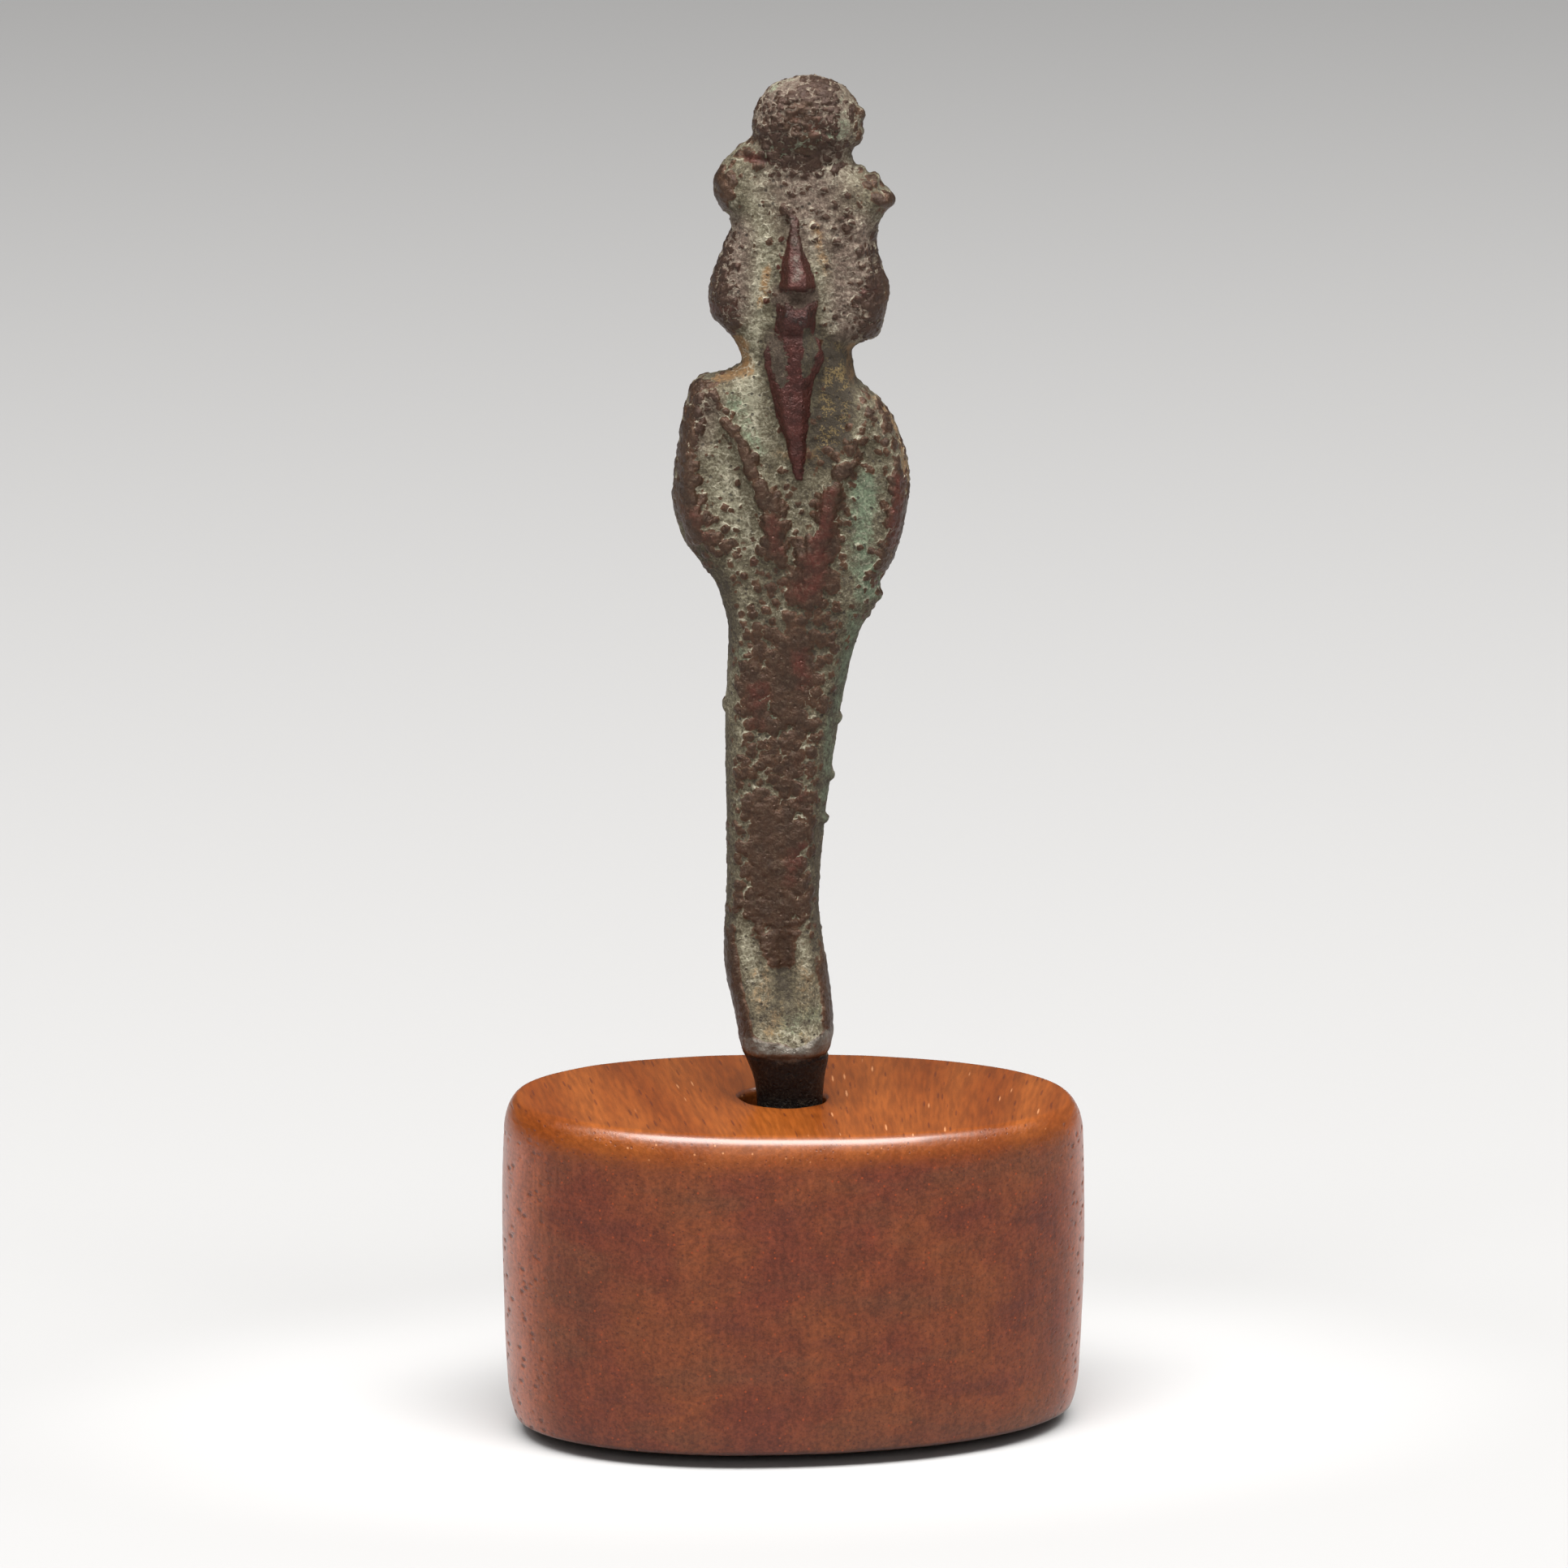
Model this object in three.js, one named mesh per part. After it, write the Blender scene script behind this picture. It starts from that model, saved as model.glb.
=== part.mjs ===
// A small cast bronze Osiris standing in an oval wooden base.
// Millimetres, +Z up, the figure facing -Y. The origin is the middle of the base's underside.
// The bronze is one solid casting: the crown, the head, the shrouded body, the feet and the tang
// under them. The tang stands in a bored socket in the base, and the figure lifts out.
import * as THREE from "three";

// The wooden base, an oval block turned soft at its edges.
const baseWidth = 51;
const baseDepth = 31.8;
const baseHeight = 29.5; // at its middle
const topFall = 1.35; // how much lower its top is at the right end than at the left
const baseSquareness = 2.13; // 2 is an ellipse, more is nearer a rectangle
const baseBelly = 0.7; // how far its sides swell between top and bottom
const bellyShare = 0.6; // where the swell is widest, as a share of the height
const footRound = { inward: 1.6, up: 4.5 };
const rimRound = { inward: 1.5, up: 3 };
const dishRadius = 9; // the shallow hollow worn round the socket
const dishDepth = 0.25;
const baseSides = 48;

// The socket in the base, and the tang that stands in it.
const tangDepth = 11.5;
const socketRadius = 3.7;
const socketClearance = 0.2; // between the tang and the wall that it leans towards
const tangTaper = 0.8; // the tang's width at its foot, as a share of its width at the mouth

// The figure, from the base's top to the top of the crown. Its form is drawn in millimetres, and
// everything drawn follows its real height.
const figureHeight = 89.7;
const figureTurn = -9; // degrees, how far the figure is turned in its socket

// The outline seen from the front, from the tang up to the ball on the crown, as [height, x].
// The ball itself is a circle that stands in the notch at the top of the outline.
const crownBall = { x: 1.12, radius: 4.75, aboveNotch: 0.85 };
const leftEdge = [
  [0, -3.25], // the tang at the socket's mouth
  [1.6, -3.5],
  [4.4, -4.5],
  [7, -5], // the side of the foot
  [12.7, -6.1], // the ankle
  [20.3, -5.85],
  [33.3, -6],
  [41.3, -5.7], // under the arm
  [44.8, -6.55],
  [50.1, -9.9],
  [53.1, -10.45], // the elbow
  [58.5, -9.85],
  [62.4, -9],
  [63.5, -8], // the shoulder
  [64, -5.5],
  [64.8, -4.55], // the neck
  [66.6, -5.2],
  [67.5, -5.9],
  [68.8, -7.1],
  [70.7, -7.3], // the side of the headdress
  [74.7, -6.1],
  [77.1, -5.3],
  [78.7, -6.7],
  [80.1, -6.9], // the tip of the plume
  [81.6, -6.35],
  [83.2, -4.9],
  [84.1, -3.6], // the notch under the ball
];
const rightEdge = [
  [0, 2.5],
  [1.6, 2.65],
  [4, 3.05],
  [6.3, 3.4], // the side of the foot
  [12.8, 2.7],
  [17.2, 2.2], // the shin
  [23.5, 2.6],
  [29.3, 3.3],
  [35.9, 4.35],
  [41, 5.6],
  [44.4, 7.35],
  [45.6, 7.5],
  [47.7, 8.6],
  [51.8, 9.65],
  [54.2, 9.95], // the elbow
  [58.5, 9.1],
  [61.4, 7.45],
  [62.5, 6.2],
  [63.4, 5.3],
  [65.7, 5], // the neck
  [66.5, 6],
  [67.1, 7.3],
  [70.4, 7.95], // the side of the headdress
  [75.8, 7],
  [77.1, 7.5],
  [78.7, 8.25], // the tip of the plume
  [80.7, 7.2],
  [81.6, 5.4],
  [82.7, 4.95], // the notch under the ball
  [83.4, 5.3],
];

const notchHeight = leftEdge[leftEdge.length - 1][0];
const ballHeight = notchHeight + crownBall.aboveNotch;
const drawnHeight = ballHeight + crownBall.radius;
const grow = figureHeight / drawnHeight;

// How far the plate stands out in front of and behind its edge, and how far in from the left and
// the right of the outline its rounded edge reaches, as [height, front, back, left, right].
const depths = [
  [0, 2.2, 2.2, 2.4, 2.4],
  [3.9, 2.4, 2.2, 2.4, 2.4], // under the toes
  [4.7, 4.9, 2.2, 2.4, 2.2], // the edge of the toes
  [8.3, 3.8, 2.3, 1.9, 1.6],
  [13.3, 2.7, 2.4, 1.4, 1.6], // the ankle
  [20, 2.7, 2.5, 1.2, 2.2],
  [30.3, 2.7, 2.7, 1.3, 2.5],
  [46.3, 3.1, 3.1, 2.2, 2.2],
  [53.3, 3.2, 3.2, 2.2, 1.8], // the elbows
  [60.3, 3, 3, 2, 2],
  [65, 2.8, 2.6, 1.8, 1.8], // the neck
  [70.3, 3.3, 2.9, 2.4, 1.8], // the head
  [79.3, 3, 2.6, 2, 2], // the plumes
  [82.6, 2.9, 2.5, 2.2, 2.2],
  [85, 3.6, 2.9, 3.4, 3.4], // the ball
  [89.7, 3.6, 2.9, 3.4, 3.4],
];

// The long narrow wedge down the middle of the front: the worn face, the step under its nose, the
// mouth, and the plaited beard that widens under the chin and tapers away on the chest, as
// [height, left, right, how far it stands out]. Where it stands out by nothing it only lays out
// the middle of the mesh.
const wedge = [
  [0, -1.4, 0.6, 0],
  [20, -2.4, 0.2, 0],
  [45, -0.9, 1.5, 0],
  [54.2, 0.1, 0.9, 0], // the tip of the beard
  [55.4, -0.1, 0.9, 0.35],
  [57.5, -0.6, 1.1, 0.8],
  [60, -1.35, 1.35, 1.2],
  [63.3, -2.2, 1.8, 1.5],
  [65.8, -2.65, 2.7, 1.9], // the widest of the beard
  [67, -2.2, 2.35, 1.75],
  [67.8, -1.8, 1.95, 1.35],
  [68.5, -1.72, 1.95, 1.75], // the chin
  [69.4, -1.65, 2, 1.75],
  [70.5, -1.6, 2.1, 1.25], // the mouth
  [71.5, -1.4, 2, 1.3],
  [71.9, -1.26, 1.94, 2.1], // the foot of the nose
  [73.2, -1.1, 1.62, 1.6],
  [75, -0.75, 0.85, 1.05],
  [77.2, -0.4, 0.5, 0.5],
  [78.4, -0.5, 0.6, 0], // where the brow runs out into the crown
  [81, -0.3, 1.6, 0],
  [85, 0.1, 2.1, 0],
];
const wedgeFlat = 0.45; // the share of its half width that is flat, before its sides slope back

// The rest of the carving. Each stroke runs through points given as
// [x, height, half its width, how far it stands out or sinks in].
const ridges = {
  leftArm: [
    [-8.4, 61.8, 1.5, 0.3],
    [-9.1, 58, 1.7, 0.5],
    [-9.1, 54, 1.7, 0.6],
    [-8.4, 51, 1.9, 0.6],
    [-6.6, 48.8, 1.6, 0.3],
  ],
  rightArm: [
    [7.4, 61, 1.7, 0.4],
    [8.8, 56, 1.6, 0.5],
    [8.8, 52, 1.5, 0.5],
    [7.9, 48.6, 1.5, 0.5],
    [6.3, 45.5, 1.3, 0.2],
  ],
  crook: [
    [-6.9, 62.6, 1.3, 0.4],
    [-4.8, 58.4, 1.2, 0.7],
    [-3.2, 55.2, 1.3, 0.8],
    [-1.9, 52.2, 1.8, 0.7],
    [-1.5, 48.8, 1.7, 0.4],
    [-0.6, 45.3, 1.7, 0.1],
  ],
  flail: [
    [6.5, 61.4, 2, 0.4],
    [5, 58.6, 2, 0.6],
    [3.5, 54.6, 1.3, 0.7],
    [2.8, 51.9, 1.3, 0.7],
    [1.6, 48.3, 1.8, 0.6],
    [1.8, 44.5, 2, 0.3],
    [1.2, 41.5, 1.8, 0.1],
  ],
  leftFoot: [
    [-2.4, 14.5, 1.3, 0.2],
    [-2.1, 10, 1.3, 0.4],
    [-1.9, 6.5, 1.2, 0.3],
  ],
  rightFoot: [
    [0.9, 14.5, 1, 0.2],
    [1.1, 10, 1.1, 0.4],
    [1.1, 6.5, 1.1, 0.3],
  ],
};
const hollows = {
  besideTheFaceLeft: [
    [-2.6, 76.8, 1.6, 0.5],
    [-3, 71.3, 1.7, 0.9],
    [-3.3, 66.8, 1.5, 0.9],
    [-3.7, 63.3, 1.6, 0.8],
    [-2.5, 58.8, 1.7, 0.8],
    [-0.9, 55.6, 1.2, 0.4],
  ],
  besideTheFaceRight: [
    [2.7, 76.3, 1.5, 0.4],
    [3.7, 71.3, 1.7, 0.8],
    [3.8, 67.3, 1.5, 0.8],
    [4, 63.8, 1.5, 0.8],
    [3, 59.8, 1.7, 0.7],
    [1.5, 56.3, 1.2, 0.4],
  ],
  leftElbow: [
    [-6.7, 58.2, 1.5, 0.4],
    [-5.8, 54.8, 2.7, 1],
    [-4.6, 50.8, 2, 0.6],
  ],
  rightElbow: [
    [6.6, 56, 1.4, 0.4],
    [6.1, 52, 2.5, 0.9],
    [5.4, 47.8, 2, 0.6],
  ],
};
const ridgeWall = 0.85; // the share of a ridge's half width that its side slopes over
const hollowWall = 1;
const carvingFade = 1.1; // carving dies out this near to the outline

// How the skin is divided: rings along the height, closer where there is carving, and points
// round each ring.
const carvedRings = { from: 53, to: 89.5, spacing: 0.8 };
const plainSpacing = 1.35;
const sideColumns = 10; // on the front, from the outline in to the wedge
const wedgeColumns = [0, 0.275, 0.5, 0.725];
const backColumns = 12;

function smooth(t) {
  const s = Math.min(1, Math.max(0, t));
  return s * s * (3 - 2 * s);
}

// A smooth curve through rows that start with a height, with no overshoot between them.
function curveThrough(rows, column) {
  const h = rows.map((row) => row[0]);
  const v = rows.map((row) => row[column]);
  const last = rows.length - 1;
  const secant = v.slice(1).map((value, i) => (value - v[i]) / (h[i + 1] - h[i]));
  const slope = v.map((value, i) => {
    const before = secant[Math.max(0, i - 1)];
    const after = secant[Math.min(last - 1, i)];
    return before * after > 0 ? (2 * before * after) / (before + after) : 0;
  });
  return (height) => {
    const at = Math.min(h[last], Math.max(h[0], height));
    let i = 0;
    while (i < last - 1 && at > h[i + 1]) i += 1;
    const span = h[i + 1] - h[i];
    const t = (at - h[i]) / span;
    const start = (1 + 2 * t) * (1 - t) * (1 - t) * v[i] + t * (1 - t) * (1 - t) * span * slope[i];
    const end = t * t * (3 - 2 * t) * v[i + 1] + t * t * (t - 1) * span * slope[i + 1];
    return start + end;
  };
}

const leftCurve = curveThrough(leftEdge, 1);
const rightCurve = curveThrough(rightEdge, 1);
const frontDepth = curveThrough(depths, 1);
const backDepth = curveThrough(depths, 2);
const leftRound = curveThrough(depths, 3);
const rightRound = curveThrough(depths, 4);
const wedgeLeft = curveThrough(wedge, 1);
const wedgeRight = curveThrough(wedge, 2);
const wedgeRise = curveThrough(wedge, 3);
const drawnTangDepth = tangDepth / grow;

// The left and right of the outline at one height, as drawn.
function outlineAt(height) {
  const rise = height - ballHeight;
  const reach = Math.sqrt(Math.max(0, crownBall.radius ** 2 - rise ** 2));
  const ball = [crownBall.x - reach, crownBall.x + reach];
  if (height < 0) {
    const share = 1 - (1 - tangTaper) * Math.min(1, -height / drawnTangDepth);
    const middle = (leftEdge[0][1] + rightEdge[0][1]) / 2;
    const half = ((rightEdge[0][1] - leftEdge[0][1]) / 2) * share;
    return [middle - half, middle + half];
  }
  const left = height > notchHeight ? ball[0] : leftCurve(height);
  const right = height > rightEdge[rightEdge.length - 1][0] ? ball[1] : rightCurve(height);
  return [left, right];
}

// The outline as line pieces, run on below the tang so that its foot isn't rounded off.
const outlineStep = 0.25;
const outlinePieces = [];
for (let height = -drawnTangDepth - 6; height < drawnHeight; height += outlineStep) {
  const next = Math.min(height + outlineStep, drawnHeight);
  const low = outlineAt(height);
  const high = outlineAt(next);
  outlinePieces.push([low[0], height, high[0], next]);
  outlinePieces.push([low[1], height, high[1], next]);
}

// How far a point lies from the line between two others, and how far along that line.
function toLine(x, z, ax, az, bx, bz) {
  const dx = bx - ax;
  const dz = bz - az;
  const along = ((x - ax) * dx + (z - az) * dz) / (dx * dx + dz * dz || 1);
  const t = Math.min(1, Math.max(0, along));
  return { t, along, distance: Math.hypot(x - ax - t * dx, z - az - t * dz) };
}

function toOutline(x, height) {
  let nearest = Infinity;
  for (const [ax, az, bx, bz] of outlinePieces) {
    nearest = Math.min(nearest, toLine(x, height, ax, az, bx, bz).distance);
  }
  return nearest;
}

// How far one stroke stands out at a point.
function strokeAt(points, wall, x, height) {
  let most = 0;
  for (let i = 0; i < points.length - 1; i += 1) {
    const [ax, az, aHalf, aRise] = points[i];
    const [bx, bz, bHalf, bRise] = points[i + 1];
    const { t, distance } = toLine(x, height, ax, az, bx, bz);
    const half = aHalf + (bHalf - aHalf) * t;
    const rise = aRise + (bRise - aRise) * t;
    most = Math.max(most, rise * smooth((1 - distance / half) / wall));
  }
  return most;
}

// How far the wedge stands out, flat across its middle with sides that slope straight back.
function wedgeAt(x, height) {
  const left = wedgeLeft(height);
  const right = wedgeRight(height);
  const across = Math.abs(x - (left + right) / 2) / ((right - left) / 2);
  return wedgeRise(height) * Math.min(1, Math.max(0, (1 - across) / (1 - wedgeFlat)));
}

// How far the carving stands out in front of the plate.
function carvingAt(x, height) {
  const out = Math.max(...Object.values(ridges).map((points) => strokeAt(points, ridgeWall, x, height)));
  const sunk = Math.max(...Object.values(hollows).map((points) => strokeAt(points, hollowWall, x, height)));
  return Math.max(wedgeAt(x, height), out - sunk * smooth(1 - out / 0.5));
}

// The front and back of the figure at one point of its outline's inside, as drawn.
function surfaceAt(x, height) {
  const [left, right] = outlineAt(height);
  const share = (x - left) / (right - left);
  const round = leftRound(height) * (1 - share) + rightRound(height) * share;
  const inside = toOutline(x, height);
  const rounding = Math.sqrt(Math.max(0, 1 - (1 - Math.min(1, inside / round)) ** 2));
  const carving = height > 0 ? carvingAt(x, height) * smooth(inside / carvingFade) : 0;
  return {
    front: -frontDepth(height) * rounding - carving,
    back: backDepth(height) * rounding,
  };
}

// Heights of the rings, closer together in the carving and where the outline or the toes turn.
function ringHeights() {
  const fine = 0.05;
  const heights = [-drawnTangDepth, -drawnTangDepth / 2, 0];
  let run = 0;
  for (let height = fine; height < drawnHeight - fine; height += fine) {
    const below = outlineAt(height - fine);
    const here = outlineAt(height);
    const sides = Math.max(Math.abs(here[0] - below[0]), Math.abs(here[1] - below[1]));
    const toes = Math.abs(frontDepth(height) - frontDepth(height - fine));
    const carved = height > carvedRings.from && height < carvedRings.to;
    run += Math.hypot(fine, 0.6 * sides, 0.6 * toes) / (carved ? carvedRings.spacing : plainSpacing);
    if (run >= 1) {
      heights.push(height);
      run = 0;
    }
  }
  heights.push(drawnHeight - fine);
  return heights;
}

// Joins rings of the same number of points into one closed skin, with a point at each end. Each
// four points are parted along their shorter diagonal, which keeps slanting ridges smooth.
function skin(rings, lowEnd, highEnd) {
  const count = rings[0].length;
  const points = [lowEnd, ...rings.flat(), highEnd];
  const apart = (a, b) => Math.hypot(...points[a].map((value, axis) => value - points[b][axis]));
  const highIndex = points.length - 1;
  const faces = [];
  for (let i = 0; i < count; i += 1) {
    const j = (i + 1) % count;
    faces.push(0, 1 + j, 1 + i);
    for (let r = 0; r < rings.length - 1; r += 1) {
      const low = 1 + r * count;
      const high = low + count;
      if (apart(low + i, high + j) < apart(low + j, high + i)) {
        faces.push(low + i, low + j, high + j, low + i, high + j, high + i);
      } else {
        faces.push(low + i, low + j, high + i, low + j, high + j, high + i);
      }
    }
    const top = highIndex - count;
    faces.push(top + i, top + j, highIndex);
  }
  const geometry = new THREE.BufferGeometry();
  geometry.setAttribute("position", new THREE.Float32BufferAttribute(points.flat(), 3));
  geometry.setIndex(faces);
  geometry.computeVertexNormals();
  return geometry;
}

// The places across one ring, as drawn, from the left edge over the front to the right edge.
function frontColumns(height) {
  const [left, right] = outlineAt(height);
  const inner = Math.min(wedgeRight(height), right - 0.3 * (right - left));
  const outer = Math.max(wedgeLeft(height), left + 0.3 * (right - left));
  const columns = [];
  for (let i = 0; i < sideColumns; i += 1) {
    const t = i / sideColumns;
    columns.push(left + (outer - left) * (0.5 * t + 0.5 * (1 - Math.cos((Math.PI * t) / 2))));
  }
  columns.push(...wedgeColumns.map((share) => outer + (inner - outer) * share));
  for (let i = 0; i < sideColumns; i += 1) {
    const t = 1 - i / sideColumns;
    columns.push(right + (inner - right) * (0.5 * t + 0.5 * (1 - Math.cos((Math.PI * t) / 2))));
  }
  return columns;
}

function figureRing(height) {
  const [left, right] = outlineAt(height);
  const front = frontColumns(height).map((x, i) => [x, i === 0 ? 0 : surfaceAt(x, height).front]);
  const back = Array.from({ length: backColumns }, (unused, i) => {
    const x = (left + right) / 2 + ((right - left) / 2) * Math.cos((Math.PI * i) / backColumns);
    return [x, i === 0 ? 0 : surfaceAt(x, height).back];
  });
  return [...front, ...back].map(([x, y]) => [x * grow, y * grow, height * grow]);
}

function bronzeFigure() {
  const rings = ringHeights().map(figureRing);
  const [left, right] = outlineAt(-drawnTangDepth);
  const foot = [((left + right) / 2) * grow, 0, -tangDepth];
  const crown = [crownBall.x * grow, 0, drawnHeight * grow];
  const bronze = new THREE.MeshStandardMaterial({
    color: 0x4b3a33,
    roughness: 0.55,
    metalness: 0.6,
  });
  const mesh = new THREE.Mesh(skin(rings, foot, crown), bronze);
  mesh.name = "bronze_osiris_figure";
  mesh.position.z = baseHeight;
  mesh.rotation.z = THREE.MathUtils.degToRad(figureTurn);
  return mesh;
}

// One oval ring of the base, drawn in from its widest by the same amount all round. A share of
// the top's fall from left to right goes with its height.
function baseRing(inset, height) {
  const ring = [];
  for (let i = 0; i < baseSides; i += 1) {
    const angle = (2 * Math.PI * i) / baseSides;
    const c = Math.cos(angle);
    const s = Math.sin(angle);
    const power = 2 / baseSquareness;
    const x = (baseWidth / 2 - inset) * Math.sign(c) * Math.abs(c) ** power;
    const y = (baseDepth / 2 - inset) * Math.sign(s) * Math.abs(s) ** power;
    ring.push([x, y, height - fallAt(x) * (height / baseHeight)]);
  }
  return ring;
}

function fallAt(x) {
  return (topFall * x) / baseWidth;
}

// How far the side stands in from the widest oval because of its gentle swell.
function bellyInset(height) {
  const middle = baseHeight * bellyShare;
  return baseBelly * ((height - middle) / middle) ** 2;
}

function woodenBase() {
  const rings = [];
  const roundSteps = 5;
  const sideSteps = 4;
  const sideTop = baseHeight - rimRound.up;
  for (let i = 0; i <= roundSteps; i += 1) {
    const angle = (Math.PI / 2) * (i / roundSteps);
    const height = footRound.up * (1 - Math.cos(angle));
    const inset = footRound.inward * (1 - Math.sin(angle));
    rings.push(baseRing(inset + bellyInset(height), height));
  }
  for (let i = 1; i < sideSteps; i += 1) {
    const height = footRound.up + ((sideTop - footRound.up) * i) / sideSteps;
    rings.push(baseRing(bellyInset(height), height));
  }
  for (let i = 0; i <= roundSteps; i += 1) {
    const angle = (Math.PI / 2) * (i / roundSteps);
    const height = sideTop + rimRound.up * Math.sin(angle);
    const inset = rimRound.inward * (1 - Math.cos(angle));
    rings.push(baseRing(inset + bellyInset(height), height));
  }
  // The top runs in to the socket, off centre because the tang leans on its right wall.
  const turn = THREE.MathUtils.degToRad(figureTurn);
  const aside = rightEdge[0][1] * grow + socketClearance - socketRadius;
  const socket = { x: aside * Math.cos(turn), y: aside * Math.sin(turn) };
  const circle = (radius, heightAt) =>
    Array.from({ length: baseSides }, (unused, i) => {
      const angle = (2 * Math.PI * i) / baseSides;
      const x = socket.x + radius * Math.cos(angle);
      return [x, socket.y + radius * Math.sin(angle), heightAt(x)];
    });
  const dishSteps = 2;
  for (let i = 0; i <= dishSteps; i += 1) {
    const share = i / dishSteps;
    const radius = dishRadius + (socketRadius - dishRadius) * share;
    rings.push(circle(radius, (x) => baseHeight - fallAt(x) - dishDepth * smooth(share)));
  }
  const floor = baseHeight - tangDepth;
  rings.push(circle(socketRadius, () => floor));
  const wood = new THREE.MeshStandardMaterial({
    color: 0x8e5232,
    roughness: 0.45,
    metalness: 0,
  });
  const mesh = new THREE.Mesh(skin(rings, [0, 0, 0], [socket.x, socket.y, floor]), wood);
  mesh.name = "oval_wooden_base";
  return mesh;
}

const osirisFigure = new THREE.Group();
osirisFigure.add(woodenBase());
osirisFigure.add(bronzeFigure());

export default osirisFigure;
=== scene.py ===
import math

import bpy
import numpy as np
from mathutils import Matrix, Vector


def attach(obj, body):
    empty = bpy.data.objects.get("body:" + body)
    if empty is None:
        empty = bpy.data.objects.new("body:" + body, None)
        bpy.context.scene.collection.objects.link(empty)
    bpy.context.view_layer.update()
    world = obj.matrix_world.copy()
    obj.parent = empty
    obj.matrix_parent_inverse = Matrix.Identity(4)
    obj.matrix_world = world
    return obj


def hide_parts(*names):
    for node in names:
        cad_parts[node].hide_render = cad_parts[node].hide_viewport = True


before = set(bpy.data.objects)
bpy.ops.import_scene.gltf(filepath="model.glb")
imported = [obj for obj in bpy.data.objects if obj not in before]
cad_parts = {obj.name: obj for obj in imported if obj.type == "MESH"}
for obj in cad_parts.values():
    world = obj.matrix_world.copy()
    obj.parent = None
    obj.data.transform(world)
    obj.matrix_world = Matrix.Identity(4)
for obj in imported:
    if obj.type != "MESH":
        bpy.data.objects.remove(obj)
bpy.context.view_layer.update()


# The oval wooden base. It is one block of a dense brown hardwood with its fibres running from
# front to back, so its front is end grain and its top and ends are long grain. It is shaped by
# hand with soft edges, bored for the tang, stained and waxed, and dark with handling.
base_width = 51
base_depth = 31.8
base_height = 29.5
top_fall = 1.35  # how much lower its top is at the right end
base_squareness = 2.13  # 2 is an ellipse, and more is squarer
base_belly = 0.7  # how far its foot lies in from its widest height
belly_share = 0.6  # its widest height, as a share of the whole
foot_inward, foot_up = 1.6, 4.5  # the worn edge round its foot
foot_gap, gap_height = 4.5, 1.35  # its underside draws in here, so that a black line shows under it
worn_bottom = (8.3, 7, 5.6, 4.2, 2.8, 1.6, 0.8, 0.3)  # how far in its flat bottom's rings lie
rim_inward, rim_up = 1.5, 3.0  # the worn edge round its top
dish_radius = 9
dish_depth = 0.25
socket_radius = 3.7
mouth_flare = 0.35  # how much wider the bore is at its mouth
tang_depth = 11.5
figure_turn = math.radians(-9)
socket_aside = -1.0  # along the figure's own left and right
around_base = 400  # points in a ring

fibre_spacing = 0.42  # mm between the pores of the wood
fibre_stretch = 0.09  # a pore is this many times as wide as it is long
pore_width, pore_share = 0.24, 0.4  # a little wider than real pores, so that they show
dust_spacing = 0.8  # mm between the pores that hold pale dust
spark_spacing, spark_width, spark_share = 0.5, 0.26, 0.2  # the brighter points of the end grain
pit_spacing, pit_width, pit_share = 0.75, 0.46, 0.75  # mm, the open pits of the ends
pit_shape = (1, 0.35, 1)  # they are about three times as long as they are wide
pit_depth = 0.14  # mm
hand_wave = 0.1  # mm, how far the worked surface wanders from true


def smooth(t):
    """Goes softly from 0 to 1."""
    s = np.clip(t, 0, 1)
    return s * s * (3 - 2 * s)


def node(tree, kind, inputs, **settings):
    """Adds one node and gives its first output. Inputs are values, or the outputs they hang on."""
    made = tree.nodes.new(kind)
    for name, value in settings.items():
        setattr(made, name, value)
    open_inputs = [s for s in made.inputs if s.enabled]
    for key, value in inputs.items():
        if isinstance(key, int):
            socket = open_inputs[key]
        else:
            socket = next(s for s in open_inputs if s.name == key)
        if isinstance(value, bpy.types.NodeSocket):
            tree.links.new(value, socket)
        else:
            socket.default_value = value
    return next((s for s in made.outputs if s.enabled), None)


def linear(hex_colour):
    """An sRGB colour as the linear one that Blender works in."""
    parts = [int(hex_colour[i : i + 2], 16) / 255 for i in (1, 3, 5)]
    return [p / 12.92 if p <= 0.04045 else ((p + 0.055) / 1.055) ** 2.4 for p in parts] + [1.0]


def ring_skin(rings):
    """Joins rings of points, each of the same number, and closes the skin with a point at each end."""
    count = len(rings[0])
    points = np.concatenate([[rings[0].mean(0)], *rings, [rings[-1].mean(0)]])
    i = np.arange(count)
    j = (i + 1) % count
    quads = []
    for r in range(len(rings) - 1):
        low, high = 1 + r * count, 1 + (r + 1) * count
        quads.append(np.stack([low + i, low + j, high + j, high + i], 1))
    last = 1 + (len(rings) - 1) * count
    foot = np.stack([np.zeros(count, int), 1 + j, 1 + i], 1)
    crown = np.stack([last + i, last + j, np.full(count, len(points) - 1)], 1)
    faces = [*np.concatenate(quads).tolist(), *foot.tolist(), *crown.tolist()]
    mesh = bpy.data.meshes.new("skin")
    mesh.from_pydata(points.tolist(), [], faces)
    mesh.validate()
    return mesh


def new_object(name, mesh):
    made = bpy.data.objects.new(name, mesh)
    bpy.context.scene.collection.objects.link(made)
    return made


def with_modifiers(obj):
    """The object's mesh with its modifiers in it. The modifiers themselves are then gone."""
    evaluated = obj.evaluated_get(bpy.context.evaluated_depsgraph_get())
    obj.data = bpy.data.meshes.new_from_object(evaluated)
    obj.modifiers.clear()
    return obj.data


def new_material(name):
    """A material with no nodes in it yet, and its tree."""
    made = bpy.data.materials.new(name)
    made.use_nodes = True
    made.node_tree.nodes.clear()
    return made, made.node_tree


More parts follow.
